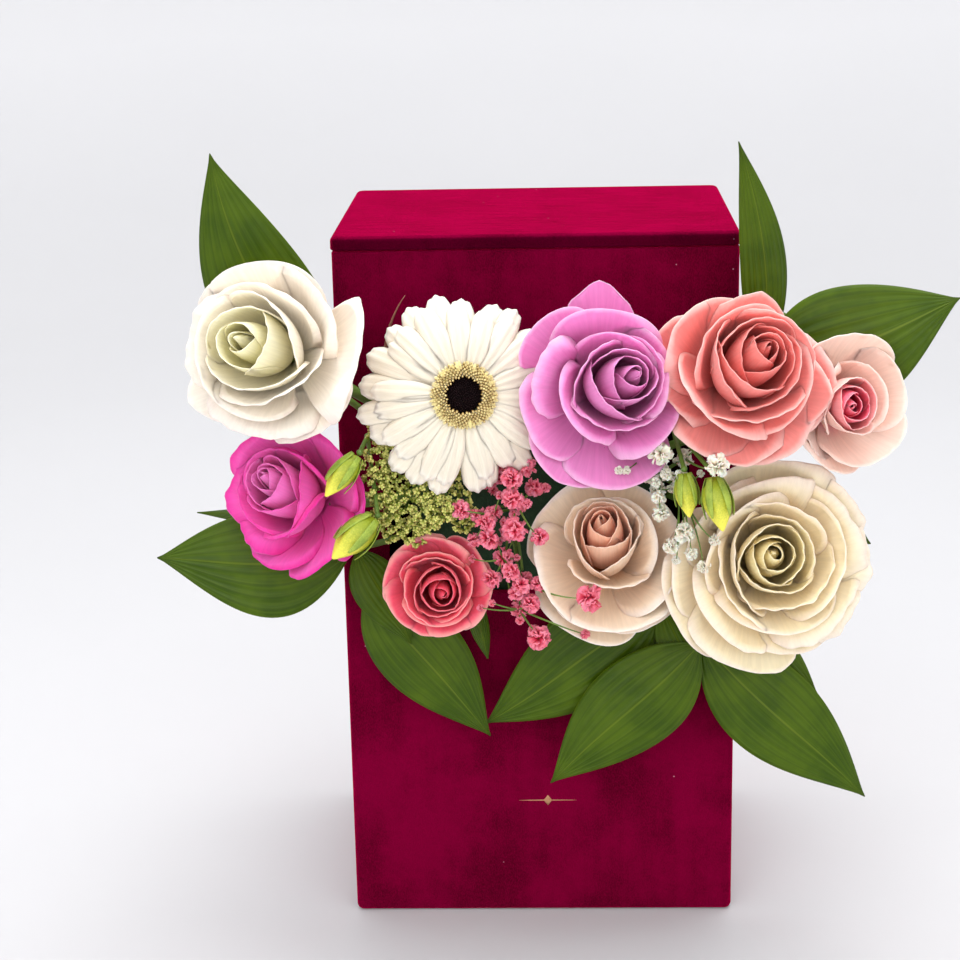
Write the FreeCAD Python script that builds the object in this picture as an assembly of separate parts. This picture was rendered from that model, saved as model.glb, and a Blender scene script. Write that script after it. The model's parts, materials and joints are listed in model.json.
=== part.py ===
"""Velvet flower box: a tall rigid-board box with a cloth-hinged lid, a window in its front wall, and an
arrangement of cut flowers that stands in a wet foam brick behind the window.

Millimetres. The origin is the middle of the underside, +Z is up and the window faces -Y.
"""

import FreeCAD, Part
import math
import os
from collections import namedtuple

Vec = FreeCAD.Vector

# Box
BOX_W = 170.0
BOX_D = 132.0
BOX_H = 310.0
BOARD_T = 3.0
VELVET_T = 0.8
EDGE_R = 3.0
RIM_R = 0.7
TURN_IN = 14.0

# Lid
LID_T = 6.0
LID_OVERHANG = 0.5
LID_CORNER_R = 4.0
LID_TOP_R = 2.4
SEAM_GAP = 0.6
PAD_T = 2.5
PAD_CORNER_R = 1.5
PAD_CLEARANCE = 1.2

# Cloth hinge on the back
HINGE_INSET = 10.0
HINGE_FLAP = 18.0
HINGE_FOLD_R = 1.0

# Window in the front
WINDOW_W = 130.0
WINDOW_H = 108.0
WINDOW_TOP_MARGIN = 42.4
WINDOW_CORNER_R = 8.0

# Magnetic closure
BLOCK_LEG = 18.0
BLOCK_H = 12.0
MAGNET_R = 4.0
MAGNET_T = 1.5
MAGNET_INSET = 1.5

# Foam brick and its tray
FOAM_W = 110.0
FOAM_D = 80.0
FOAM_DROP = 25.7
TRAY_T = 1.5
TRAY_H = 32.0
TRAY_CORNER_R = 5.0
STEM_DEPTH = 26.0

# Clearances
SEAT_CLEARANCE = 0.3
GLUE_GAP = 0.05
MAGNET_CLEARANCE = 0.1
STEM_CLEARANCE = 0.05

# Flower tissue
PETAL_T = 0.8
LEAF_T = 0.6
LEAF_CROWN = 2.4
CALYX_H = 9.0
CALYX_SHARE = 0.28
KNOT_SHARE = 1.2
GOLDEN_ANGLE = 137.5

# Values that follow from the ones above
BODY_H = BOX_H - LID_T - SEAM_GAP
SHELL_W = BOX_W - 2 * VELVET_T
SHELL_D = BOX_D - 2 * VELVET_T
INSIDE_W = SHELL_W - 2 * BOARD_T
INSIDE_D = SHELL_D - 2 * BOARD_T
FLOOR_Z = VELVET_T + BOARD_T
WALL_TOP = BODY_H - VELVET_T
LID_Z = BODY_H + SEAM_GAP
LID_BACK = BOX_D / 2 - SEAT_CLEARANCE
PAD_W = INSIDE_W - 2 * (VELVET_T + PAD_CLEARANCE)
PAD_D = INSIDE_D - 2 * (VELVET_T + PAD_CLEARANCE)
PAD_Z = BODY_H - PAD_T
BLOCK_TOP = PAD_Z - SEAT_CLEARANCE
FRONT_Y = -BOX_D / 2
WINDOW_Z = BODY_H - WINDOW_TOP_MARGIN - WINDOW_H / 2
TRAY_FRONT = -INSIDE_D / 2 + SEAT_CLEARANCE
FOAM_FRONT = TRAY_FRONT + TRAY_T + SEAT_CLEARANCE
FOAM_Z = FLOOR_Z + TRAY_T
FOAM_TOP = WINDOW_Z + WINDOW_H / 2 - FOAM_DROP
HINGE_Y = BOX_D / 2 + VELVET_T / 2
HINGE_Z = BODY_H + SEAM_GAP / 2

# Places in the arrangement are (x, out, up): out is the distance in front of the front face, and up the
# height over the window's middle. These are the window's and the foam's edges in that system.
LEFT, RIGHT = -WINDOW_W / 2, WINDOW_W / 2
SILL = -WINDOW_H / 2
FOAM_LEFT, FOAM_RIGHT = -FOAM_W / 2, FOAM_W / 2
FOAM_UP = FOAM_TOP - WINDOW_Z

# A bloom stands on its calyx and faces (right, out, up). A stem bends once in front of the window, and
# its foot, given as (x, up), is STEM_DEPTH inside the foam.
Rose = namedtuple("Rose", "centre facing radius height petals spin stem_r bend foot")
Sprig = namedtuple("Sprig", "start bend foot")
Leaf = namedtuple("Leaf", "sprig tip width facing arch lift")
Spray = namedtuple("Spray", "hub bend foot stem_r head_r heads")
Bud = namedtuple("Bud", "neck hang length radius")
Stem = namedtuple("Stem", "bend foot radius")

ROSES = {
    "white": Rose((-106, 52, 66), (-0.22, 0.93, 0.30), 36, 44, 10, 20,
                  2.4, (LEFT + 8, 8, FOAM_UP - 1), (FOAM_LEFT + 17, FOAM_UP - 15)),
    "magenta": Rose((-102, 40, 1), (-0.45, 0.83, 0.33), 27, 40, 10, 70,
                    2.3, (LEFT + 4, 8, -9), (FOAM_LEFT + 17, -11)),
    "pink_spray": Rose((-43, 42, -36), (-0.05, 0.96, 0.28), 22, 32, 8, 140,
                       1.8, (-36, 12, SILL + 15), (-28, SILL + 17)),
    "lilac": Rose((28, 54, 50), (0.04, 0.96, 0.26), 28, 46, 10, 200,
                  2.4, (18, 12, FOAM_UP), (14, FOAM_UP - 15)),
    "coral": Rose((82, 56, 55), (0.16, 0.94, 0.30), 35, 46, 10, 260,
                  2.5, (RIGHT - 9, 10, FOAM_UP), (FOAM_RIGHT - 19, FOAM_UP - 16)),
    "peach": Rose((127, 36, 39), (0.45, 0.85, 0.26), 22, 36, 8, 310,
                  1.8, (RIGHT - 5, 7, 15), (FOAM_RIGHT - 11, -3)),
    "blush": Rose((29, 40, -24), (0.02, 0.90, 0.44), 29, 42, 10, 40,
                  2.3, (20, 10, SILL + 17), (10, SILL + 19)),
    "ivory": Rose((97, 50, -25), (0.20, 0.95, 0.22), 40, 44, 11, 100,
                  2.5, (RIGHT - 5, 10, -27), (FOAM_RIGHT - 17, -29)),
}

GERBERA_CENTRE = (-29, 50, 47)
GERBERA_FACING = (0.16, 0.95, 0.22)
GERBERA_R = 33.0
GERBERA_EYE_R = 7.5
GERBERA_RING_R = 12.5
GERBERA_RAYS = (20, 16)
GERBERA_RAY_W = (9.6, 8.0)
GERBERA_RAY_LIFT = 2.4
GERBERA_RAY_CHANNEL = 0.9
GERBERA_RING_STEP = 1.6
GERBERA_CUP_H = 10.0
GERBERA_STEM_R = 2.4
GERBERA_BEND = (-22, 12, FOAM_UP)
GERBERA_FOOT = (-14, FOAM_UP - 14)

RUSCUS_STEM_R = 1.4
SPRIGS = {
    "upper_left": Sprig((-88, 10, 43), (LEFT + 4, 6, FOAM_UP - 8), (FOAM_LEFT + 7, FOAM_UP - 16)),
    "left": Sprig((-78, 13, -29), (LEFT + 4, 6, -27), (FOAM_LEFT + 9, -25)),
    "left_back": Sprig((-70, 5, -20), (LEFT + 4, 4, -17), (FOAM_LEFT + 5, -13)),
    "lower_left": Sprig((-75, 13, -47), (LEFT + 5, 6, SILL + 13), (FOAM_LEFT + 11, SILL + 11)),
    "lower_centre": Sprig((52, 11, -57), (36, 7, SILL + 5), (26, SILL + 7)),
    "lower_right": Sprig((69, 18, -71), (RIGHT - 7, 7, SILL + 5), (FOAM_RIGHT - 11, SILL + 9)),
    "right_back": Sprig((80, 8, -67), (RIGHT - 5, 4, SILL + 12), (FOAM_RIGHT - 7, SILL + 17)),
    "right_edge": Sprig((104, 11, -11), (RIGHT - 4, 6, -11), (FOAM_RIGHT - 5, -17)),
    "upper_right": Sprig((94, 10, 49), (RIGHT - 4, 5, FOAM_UP - 6), (FOAM_RIGHT - 5, FOAM_UP - 18)),
}

LEAVES = {
    "upper_left": Leaf("upper_left", (-130, 20, 141), 40, (-0.10, 0.98, 0.10), 4, 0),
    "left": Leaf("left", (-162, 20, -30), 38, (-0.10, 0.95, 0.28), 4, 0),
    "olive": Leaf("left", (-55, 20, -70), 22, (0.30, 0.94, 0.10), 3, 1.6),
    "left_sliver": Leaf("left_back", (-146, 8, -14), 8, (0.0, 0.30, 0.95), 1, 0),
    "lower_left": Leaf("lower_left", (-22, 14, -115), 38, (-0.12, 0.97, 0.20), 4, 0),
    "lower_centre": Leaf("lower_centre", (-24, 12, -110), 42, (0.05, 0.98, 0.18), 4, 0.8),
    "lower_right": Leaf("lower_right", (4, 22, -134), 40, (0.05, 0.98, 0.18), 3, 0.8),
    "right_low": Leaf("lower_right", (141, 16, -144), 40, (0.10, 0.97, 0.20), 4, -0.8),
    "right_back": Leaf("right_back", (120, 10, -98), 26, (0.10, 0.97, 0.20), 1, 0),
    "right_edge": Leaf("right_edge", (140, 16, -28), 22, (0.20, 0.97, 0.10), 2, 0),
    "upper_right": Leaf("upper_right", (82, 18, 142), 20, (0.25, 0.96, 0.08), 3, 0.8),
    "right": Leaf("upper_right", (172, 22, 78), 44, (0.08, 0.96, 0.28), 3, -0.8),
}

TWIG_R = 0.6
SPRAYS = {
    "green_filler": Spray((-46, 16, 2), (-40, 8, 1), (-26, -3), 1.3, 6.5,
                          ((-57, 38, 14), (-46, 41, 19), (-36, 38, 13), (-56, 40, 1), (-44, 44, 6),
                           (-34, 40, 0), (-46, 40, -7))),
    "pink_gypsophila": Spray((-10, 16, -11), (-8, 8, -11), (-6, -13), 1.2, 4.6,
                             ((-20, 38, 8), (-10, 41, 10), (-1, 36, 4), (-18, 42, -5), (-8, 44, -1),
                              (-12, 40, -14), (-14, 43, -24), (-6, 42, -34), (-8, 44, -46))),
    "white_gypsophila": Spray((50, 16, 3), (46, 8, 1), (28, -9), 1.2, 4.0,
                              ((42, 38, 16), (51, 42, 12), (60, 40, 17), (49, 36, 3), (58, 38, 4))),
}

LISIANTHUS_R = 1.1
LISIANTHUS_STALK_R = 0.9
LISIANTHUS_STEMS = {
    "left": Sprig((-70, 26, 24), (LEFT + 5, 6, 13), (FOAM_LEFT + 7, 3)),
    "right": Sprig((55, 34, 30), (48, 10, 21), (26, 5)),
}
BUDS = {
    "left": (
        Bud((-72, 52, 23), (-0.62, 0.25, -0.74), 21, 5.0),
        Bud((-66, 50, -4), (-0.72, 0.30, -0.62), 24, 6.6),
    ),
    "right": (
        Bud((59, 58, 16), (0.10, 0.25, -0.96), 18, 4.6),
        Bud((70, 64, 16), (0.16, 0.30, -0.94), 22, 5.6),
    ),
}


def at(place):
    """A place in the arrangement as a point of the part."""
    x, out, up = place
    return Vec(x, FRONT_Y - out, WINDOW_Z + up)


def heading(facing):
    """A direction in the arrangement as a unit vector of the part."""
    right, out, up = facing
    return unit(Vec(right, -out, up))


def foot_at(foot):
    """A stem's foot inside the foam."""
    x, up = foot
    return Vec(x, FOAM_FRONT + STEM_DEPTH, WINDOW_Z + up)


def unit(vector):
    """The direction of a vector."""
    return vector / vector.Length


def block(x0, x1, y0, y1, z0, z1):
    """A box between two corners."""
    return Part.makeBox(x1 - x0, y1 - y0, z1 - z0, Vec(x0, y0, z0))


def edges_along(solid, axis):
    """Straight edges that run along an axis."""
    return [e for e in solid.Edges if abs(e.tangentAt(e.FirstParameter).dot(axis)) > 0.99]


def edges_at(solid, z):
    """Edges that lie wholly in the plane at height z."""
    return [e for e in solid.Edges if abs(e.BoundBox.ZMin - z) < 1e-6 and abs(e.BoundBox.ZMax - z) < 1e-6]


def upright_rounded(solid, radius):
    """A box with its upright edges rounded."""
    return solid.makeFillet(radius, edges_along(solid, Vec(0, 0, 1)))


def slab(width, depth, z0, z1):
    """A box centred on the Z axis."""
    return block(-width / 2, width / 2, -depth / 2, depth / 2, z0, z1)


def window_prism(grow, y0, y1):
    """The window's outline, grown all round, as a prism through the front wall."""
    prism = block(LEFT - grow, RIGHT + grow, y0, y1, WINDOW_Z + SILL - grow, WINDOW_Z - SILL + grow)
    return prism.makeFillet(WINDOW_CORNER_R + grow, edges_along(prism, Vec(0, 1, 0)))


def set_on(shape, origin, direction, spin=0.0):
    """A shape made about local +Z, carried to a point and turned along a direction."""
    turn = FreeCAD.Rotation(Vec(0, 0, 1), direction)
    copy = shape.copy()
    copy.Placement = FreeCAD.Placement(origin, turn * FreeCAD.Rotation(Vec(0, 0, 1), spin))
    return copy


def to_foam(bend, foot):
    """The share of a stem's last run that lies in front of the foam."""
    return (FOAM_FRONT - bend.y) / (foot.y - bend.y)


def stem_tube(start, corner, end, radius):
    """A round stem along two straight runs with a tangent arc between them, straight inside the foam."""
    first, second = unit(corner - start), unit(end - corner)
    half_turn = first.getAngle(second) / 2
    reach = min(0.45 * (corner - start).Length, 0.9 * to_foam(corner, end) * (end - corner).Length)
    bend_r = reach / math.tan(half_turn)
    inward = unit(second - first)
    middle = corner + inward * (bend_r / math.cos(half_turn) - bend_r)
    into, out_of = corner - first * reach, corner + second * reach
    path = Part.Wire([
        Part.LineSegment(start, into).toShape(),
        Part.Arc(into, middle, out_of).toShape(),
        Part.LineSegment(out_of, end).toShape(),
    ])
    ring = Part.Wire([Part.makeCircle(radius, start, first)])
    return path.makePipeShell([ring], True, False)


def straight_tube(start, end, radius):
    """A round tube between two points."""
    return Part.makeCylinder(radius, (end - start).Length, start, end - start)


def lathe(profile):
    """A solid turned about local Z from (radius, height) points joined by a smooth line."""
    points = [Vec(r, 0, z) for r, z in profile]
    curve = Part.BSplineCurve()
    curve.interpolate(points)
    corners = [points[-1], Vec(0, 0, points[-1].z), Vec(0, 0, points[0].z), points[0]]
    edges = [curve.toShape()]
    for a, b in zip(corners, corners[1:]):
        if (a - b).Length > 1e-6:
            edges.append(Part.LineSegment(a, b).toShape())
    return Part.Face(Part.Wire(edges)).revolve(Vec(), Vec(0, 0, 1), 360)


def blade(stations, thickness):
    """A petal or leaf: a loft through crescents, each two arcs that meet at the blade's edges.

    A station is (point on the midrib, direction across, normal, half width, cup). The edges lie cup
    below the midrib along the normal.
    """
    wires = []
    for point, across, normal, half, cup in stations:
        left = point - across * half - normal * cup
        right = point + across * half - normal * cup
        over = Part.Arc(left, point + normal * (thickness / 2), right).toShape()
        under = Part.Arc(right, point - normal * (thickness / 2), left).toShape()
        wires.append(Part.Wire([over, under]))
    return Part.makeLoft(wires, True, False)


# Box body

def shell_core():
    """The volume that the boards share: the outer shape less the velvet."""
    core = upright_rounded(slab(SHELL_W, SHELL_D, VELVET_T, WALL_TOP), EDGE_R - VELVET_T)
    return core.makeFillet(EDGE_R - VELVET_T, edges_at(core, VELVET_T))


def boards():
    """Five boards cut from the shell: sides over the full depth, front and back between them."""
    core = shell_core()
    w, d, top = INSIDE_W / 2, INSIDE_D / 2, WALL_TOP
    x, y = BOX_W, BOX_D
    window = window_prism(VELVET_T, -y, 0)
    cuts = {
        "base_board": block(-x, x, -y, y, 0, FLOOR_Z),
        "left_board": block(-x, -w, -y, y, FLOOR_Z, top),
        "right_board": block(w, x, -y, y, FLOOR_Z, top),
        "back_board": block(-w, w, d, y, FLOOR_Z, top),
        "front_board": block(-w, w, -y, -d, FLOOR_Z, top).cut(window),
    }
    return {name: core.common(cut) for name, cut in cuts.items()}


def body_velvet():
    """The velvet sleeve, turned in over the rim, round the window's edge and under the base."""
    outer = upright_rounded(slab(BOX_W, BOX_D, 0, BODY_H), EDGE_R)
    outer = outer.makeFillet(EDGE_R, edges_at(outer, 0))
    outer = outer.makeFillet(RIM_R, edges_at(outer, BODY_H))
    lip_w, lip_d = INSIDE_W - 2 * VELVET_T, INSIDE_D - 2 * VELVET_T
    mouth = slab(lip_w, lip_d, BODY_H - TURN_IN, BOX_H)
    skin = outer.cut([shell_core(), mouth, slab(BOX_W - 2 * TURN_IN, BOX_D - 2 * TURN_IN, -1, FLOOR_Z)])
    lip = slab(INSIDE_W, INSIDE_D, BODY_H - TURN_IN, WALL_TOP).cut(mouth)
    reveal = window_prism(VELVET_T, FRONT_Y + VELVET_T, -INSIDE_D / 2)
    skin = skin.fuse([lip, reveal])
    return skin.cut(window_prism(0.0, -BOX_D, 0)).removeSplitter()


def base_sheet():
    """The covering sheet under the base, inside the velvet's turned edge."""
    side = TURN_IN + SEAT_CLEARANCE
    return slab(BOX_W - 2 * side, BOX_D - 2 * side, 0, VELVET_T)


def hinge_cloth():
    """A cloth strip glued to the back wall and to the lid's rear edge, with a rounded fold on the axis."""
    x, wall = BOX_W / 2 - HINGE_INSET, BOX_D / 2
    strip = block(-x, x, wall, wall + VELVET_T, HINGE_Z - HINGE_FLAP, LID_Z + LID_T / 2)
    fold = Part.makeCylinder(HINGE_FOLD_R, 2 * x, Vec(-x, HINGE_Y, HINGE_Z), Vec(1, 0, 0))
    behind = block(-x, x, wall, wall + BOX_D, 0, BOX_H)
    return strip.fuse(fold.common(behind)).removeSplitter()


def magnet(side, z0, z1, grow=0.0):
    """A magnet's disc, or its pocket, over one corner block."""
    reach = VELVET_T + GLUE_GAP + MAGNET_R + MAGNET_INSET
    centre = Vec(side * (INSIDE_W / 2 - reach), -INSIDE_D / 2 + reach, z0)
    return Part.makeCylinder(MAGNET_R + grow, z1 - z0, centre)


def magnet_pair(z):
    """Left and right discs with their lower faces at height z."""
    return Part.makeCompound([magnet(side, z, z + MAGNET_T) for side in (-1, 1)])


def corner_blocks():
    """Two glued blocks in the front top corners, each with a pocket for a magnet."""
    blocks = []
    for side in (-1, 1):
        x = side * (INSIDE_W / 2 - VELVET_T - GLUE_GAP)
        y = -INSIDE_D / 2 + VELVET_T + GLUE_GAP
        corner = Vec(x, y, BLOCK_TOP)
        outline = [corner, corner - Vec(side * BLOCK_LEG, 0, 0), corner + Vec(0, BLOCK_LEG, 0), corner]
        solid = Part.Face(Part.makePolygon(outline)).extrude(Vec(0, 0, -BLOCK_H))
        blocks.append(solid.cut(magnet(side, BLOCK_TOP - MAGNET_T, BOX_H, MAGNET_CLEARANCE)))
    return Part.makeCompound(blocks)


# Lid

def lid_volume(inset, lower_r):
    """The lid's outside, or its board when drawn in by the velvet."""
    x = BOX_W / 2 + LID_OVERHANG - inset
    solid = block(-x, x, FRONT_Y - LID_OVERHANG + inset, LID_BACK - inset, LID_Z + inset, BOX_H - inset)
    solid = upright_rounded(solid, LID_CORNER_R - inset)
    solid = solid.makeFillet(LID_TOP_R - inset, edges_at(solid, BOX_H - inset))
    if lower_r:
        solid = solid.makeFillet(lower_r, edges_at(solid, LID_Z + inset))
    return solid


def lid_velvet():
    """The lid's velvet, turned under its edge as far as the pad."""
    opening = slab(PAD_W + 2 * SEAT_CLEARANCE, PAD_D + 2 * SEAT_CLEARANCE, LID_Z - 1, LID_Z + VELVET_T)
    return lid_volume(0.0, RIM_R).cut([lid_volume(VELVET_T, 0.0), opening])


def lid_pad():
    """The covered pad under the lid that drops inside the rim, with pockets for its magnets."""
    pad = upright_rounded(slab(PAD_W, PAD_D, PAD_Z, LID_Z + VELVET_T), PAD_CORNER_R)
    return pad.cut([magnet(side, 0, PAD_Z + MAGNET_T, MAGNET_CLEARANCE) for side in (-1, 1)])


# Foam and tray

def tray_plan(inset, z0, z1):
    """The tray's plan, drawn in by inset, as a block."""
    x = FOAM_W / 2 + SEAT_CLEARANCE + TRAY_T - inset
    back = FOAM_FRONT + FOAM_D + SEAT_CLEARANCE + TRAY_T
    return upright_rounded(block(-x, x, TRAY_FRONT + inset, back - inset, z0, z1), TRAY_CORNER_R - inset)


def foam_tray():
    """The shallow waterproof tray that the brick stands in."""
    return tray_plan(0.0, FLOOR_Z, FLOOR_Z + TRAY_H).cut(tray_plan(TRAY_T, FOAM_Z, BOX_H))


def foam_brick(stems):
    """The upright wet foam brick, with a hole for every stem."""
    brick = block(FOAM_LEFT, FOAM_RIGHT, FOAM_FRONT, FOAM_FRONT + FOAM_D, FOAM_Z, FOAM_TOP)
    brick = upright_rounded(brick, TRAY_CORNER_R - TRAY_T)
    holes = []
    for stem in stems:
        run = stem.foot - stem.bend
        along = unit(run)
        mouth = stem.bend + run * to_foam(stem.bend, stem.foot) - along * (2 * stem.radius)
        holes.append(straight_tube(mouth, stem.foot + along * STEM_CLEARANCE, stem.radius + STEM_CLEARANCE))
    return brick.cut(holes)


# Roses

def rose_petal(out, radius, height, seat_r):
    """One petal, cupped about the bloom's axis: inner ones close over the bud, outer ones roll back.

    out goes from 0 for the innermost petal to 1 for the outermost.
    """
    def between(inner, outer):
        return inner + (outer - inner) * out

    midrib = (
        (seat_r * between(0.20, 0.85), 0.0),
        (radius * between(0.17, 0.64), height * between(0.30, 0.20)),
        (radius * between(0.21, 0.86), height * between(0.64, 0.48)),
        (radius * between(0.16, 0.93), height * between(0.90, 0.66)),
        (radius * between(0.09, 1.00), height * between(1.00, 0.71)),
    )
    spans = (34.0, 54.0, 60.0, between(48.0, 50.0), between(20.0, 27.0))
    roll = (1.0, 1.0, 1.0, between(1.0, 0.55), between(1.0, -0.35))
    stations = []
    for number, ((r, z), span, cupped) in enumerate(zip(midrib, spans, roll)):
        before, after = midrib[max(number - 1, 0)], midrib[min(number + 1, len(midrib) - 1)]
        normal = unit(Vec(after[1] - before[1], 0, before[0] - after[0])) if number else Vec(1, 0, 0)
        angle = math.radians(span)
        stations.append((Vec(r, 0, z), Vec(0, 1, 0), normal, r * math.sin(angle),
                         cupped * r * (1 - math.cos(angle))))
    return blade(stations, PETAL_T)


def rose_base(rose):
    """Where the petals meet the calyx."""
    return at(rose.centre) - heading(rose.facing) * (0.5 * rose.height)


def rose_bloom(rose):
    """The petals round a closed bud, each a golden angle on from the last."""
    seat_r = rose.radius * CALYX_SHARE
    bud = lathe([(seat_r * 0.10, 0), (rose.radius * 0.085, rose.height * 0.55), (0.0, rose.height * 0.97)])
    base, facing = rose_base(rose), heading(rose.facing)
    solids = [set_on(bud, base, facing)]
    for number in range(rose.petals):
        petal = rose_petal(number / (rose.petals - 1), rose.radius, rose.height, seat_r)
        solids.append(set_on(petal, base, facing, rose.spin + GOLDEN_ANGLE * number))
    return Part.makeCompound(solids)


def rose_stem(rose):
    """Calyx and stem in one piece, with the petals' seat on top."""
    seat_r = rose.radius * CALYX_SHARE
    calyx = lathe([(rose.stem_r, -CALYX_H), (0.75 * seat_r, -0.45 * CALYX_H), (seat_r, 0.0)])
    calyx = set_on(calyx, rose_base(rose), heading(rose.facing))
    start = rose_base(rose) - heading(rose.facing) * (CALYX_H - 1.0)
    stem = stem_tube(start, at(rose.bend), foot_at(rose.foot), rose.stem_r)
    return calyx.fuse(stem).removeSplitter()


# Gerbera

def ray_petal(length, width):
    """One ray: a long blade, channelled along its middle and lifted a little before its tip."""
    outline = ((0.0, 0.28), (0.35, 0.78), (0.72, 1.0), (0.93, 0.72), (1.0, 0.22))
    root = GERBERA_EYE_R + SEAT_CLEARANCE
    stations = []
    for share, wide in outline:
        point = Vec(root + length * share, 0, GERBERA_RAY_LIFT * math.sin(0.8 * math.pi * share))
        stations.append((point, Vec(0, 1, 0), Vec(0, 0, 1), width * wide / 2, -GERBERA_RAY_CHANNEL * wide))
    return blade(stations, PETAL_T)


def gerbera_rays():
    """Two rings of rays, the inner ring shorter and a petal higher."""
    reach = GERBERA_R - GERBERA_EYE_R - SEAT_CLEARANCE
    solids = []
    for ring, (count, width) in enumerate(zip(GERBERA_RAYS, GERBERA_RAY_W)):
        ray = ray_petal(reach * (1.0 - 0.2 * ring), width)
        ray.translate(Vec(0, 0, GERBERA_RING_STEP * ring))
        base = Part.makeCompound([ray])
        for number in range(count):
            turn = 360.0 * (number + 0.5 * ring) / count
            solids += set_on(base, at(GERBERA_CENTRE), heading(GERBERA_FACING), turn).Solids
    return Part.makeCompound(solids)


def gerbera_eye():
    """The dark eye, a low dome on the receptacle."""
    r = GERBERA_EYE_R
    dome = lathe([(0.93 * r, -2.0), (r, 0.6), (0.86 * r, 2.8), (0.5 * r, 4.2), (0.0, 4.6)])
    return set_on(dome, at(GERBERA_CENTRE), heading(GERBERA_FACING))


def gerbera_ring():
    """The collar of short florets round the eye, resting on the inner rays."""
    inner, outer = GERBERA_EYE_R + SEAT_CLEARANCE, GERBERA_RING_R
    low, high = GERBERA_RING_STEP + 1.9, GERBERA_RING_STEP + 4.0
    outline = [Vec(inner, 0, low), Vec(outer, 0, low + 0.6), Vec(outer, 0, high), Vec(inner, 0, high - 0.6)]
    ring = Part.Face(Part.makePolygon(outline + outline[:1])).revolve(Vec(), Vec(0, 0, 1), 360)
    return set_on(ring, at(GERBERA_CENTRE), heading(GERBERA_FACING))


def gerbera_stem():
    """The green cup under the eye and its stem."""
    top = -2.0
    cup = lathe([(GERBERA_STEM_R, top - GERBERA_CUP_H), (0.8 * GERBERA_EYE_R, top - 0.5 * GERBERA_CUP_H),
                 (GERBERA_EYE_R, top)])
    cup = set_on(cup, at(GERBERA_CENTRE), heading(GERBERA_FACING))
    start = at(GERBERA_CENTRE) + heading(GERBERA_FACING) * (top - GERBERA_CUP_H + 1.0)
    stem = stem_tube(start, at(GERBERA_BEND), foot_at(GERBERA_FOOT), GERBERA_STEM_R)
    return cup.fuse(stem).removeSplitter()


# Ruscus, filler and buds

def leaf_blade(leaf):
    """A pointed ovate blade on an arched midrib, seated at the top of its sprig."""
    start, tip, facing = at(SPRIGS[leaf.sprig].start), at(leaf.tip), heading(leaf.facing)
    seat = KNOT_SHARE * RUSCUS_STEM_R + SEAT_CLEARANCE
    base = start + unit(unit(tip - start) + facing * leaf.lift) * seat
    along = unit(tip - base)
    across = unit(facing.cross(along))
    normal = along.cross(across)
    outline = ((0.0, 0.07), (0.14, 0.58), (0.38, 1.0), (0.64, 0.76), (0.86, 0.27), (1.0, 0.03))
    stations = []
    for share, wide in outline:
        point = base + (tip - base) * share + normal * (leaf.arch * math.sin(math.pi * share))
        stations.append((point, across, normal, leaf.width * wide / 2, LEAF_CROWN * wide))
    return blade(stations, LEAF_T)


def knotted_stem(sprig, radius, branches):
    """A stem with a knot at its top, from which branches run."""
    top = at(sprig.start)
    stem = stem_tube(top, at(sprig.bend), foot_at(sprig.foot), radius)
    return stem.fuse([Part.makeSphere(KNOT_SHARE * radius, top)] + branches).removeSplitter()


def ruscus_stems():
    """One bent stem under every leaf or group of leaves, with a knot where they sit."""
    return Part.makeCompound([knotted_stem(s, RUSCUS_STEM_R, []) for s in SPRIGS.values()])


def spray_heads(spray):
    """The flower clusters of a spray, each a rounded head."""
    return Part.makeCompound([Part.makeSphere(spray.head_r, at(head)) for head in spray.heads])


def spray_stem(spray):
    """A stem that branches at its hub into one twig for each head."""
    hub = at(spray.hub)
    twigs = []
    for head in spray.heads:
        end = at(head) - unit(at(head) - hub) * (spray.head_r + SEAT_CLEARANCE)
        twigs.append(straight_tube(hub, end, TWIG_R))
    return knotted_stem(Sprig(spray.hub, spray.bend, spray.foot), spray.stem_r, twigs)


def lisianthus_buds():
    """Closed buds, round at the neck and drawn to a point."""
    solids = []
    for buds in BUDS.values():
        for bud in buds:
            shape = ((0.25, 0.0), (0.9, 0.22), (0.92, 0.5), (0.4, 0.84), (0.0, 1.0))
            form = lathe([(bud.radius * r, bud.length * z) for r, z in shape])
            solids.append(set_on(form, at(bud.neck), heading(bud.hang)))
    return Part.makeCompound(solids)


def lisianthus_stems():
    """Two stems that fork into one stalk for each bud."""
    solids = []
    for name, sprig in LISIANTHUS_STEMS.items():
        knot_r = KNOT_SHARE * LISIANTHUS_R
        stalks = []
        for bud in BUDS[name]:
            seat = at(bud.neck) - heading(bud.hang) * (knot_r + SEAT_CLEARANCE)
            stalks.append(straight_tube(at(sprig.start), seat, LISIANTHUS_STALK_R))
            stalks.append(Part.makeSphere(knot_r, seat))
        solids.append(knotted_stem(sprig, LISIANTHUS_R, stalks))
    return Part.makeCompound(solids)


def stems_in_foam():
    """Every stem that needs a hole in the foam."""
    stems = [Stem(at(r.bend), foot_at(r.foot), r.stem_r) for r in ROSES.values()]
    stems.append(Stem(at(GERBERA_BEND), foot_at(GERBERA_FOOT), GERBERA_STEM_R))
    stems += [Stem(at(s.bend), foot_at(s.foot), RUSCUS_STEM_R) for s in SPRIGS.values()]
    stems += [Stem(at(s.bend), foot_at(s.foot), s.stem_r) for s in SPRAYS.values()]
    stems += [Stem(at(s.bend), foot_at(s.foot), LISIANTHUS_R) for s in LISIANTHUS_STEMS.values()]
    return stems


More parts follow.
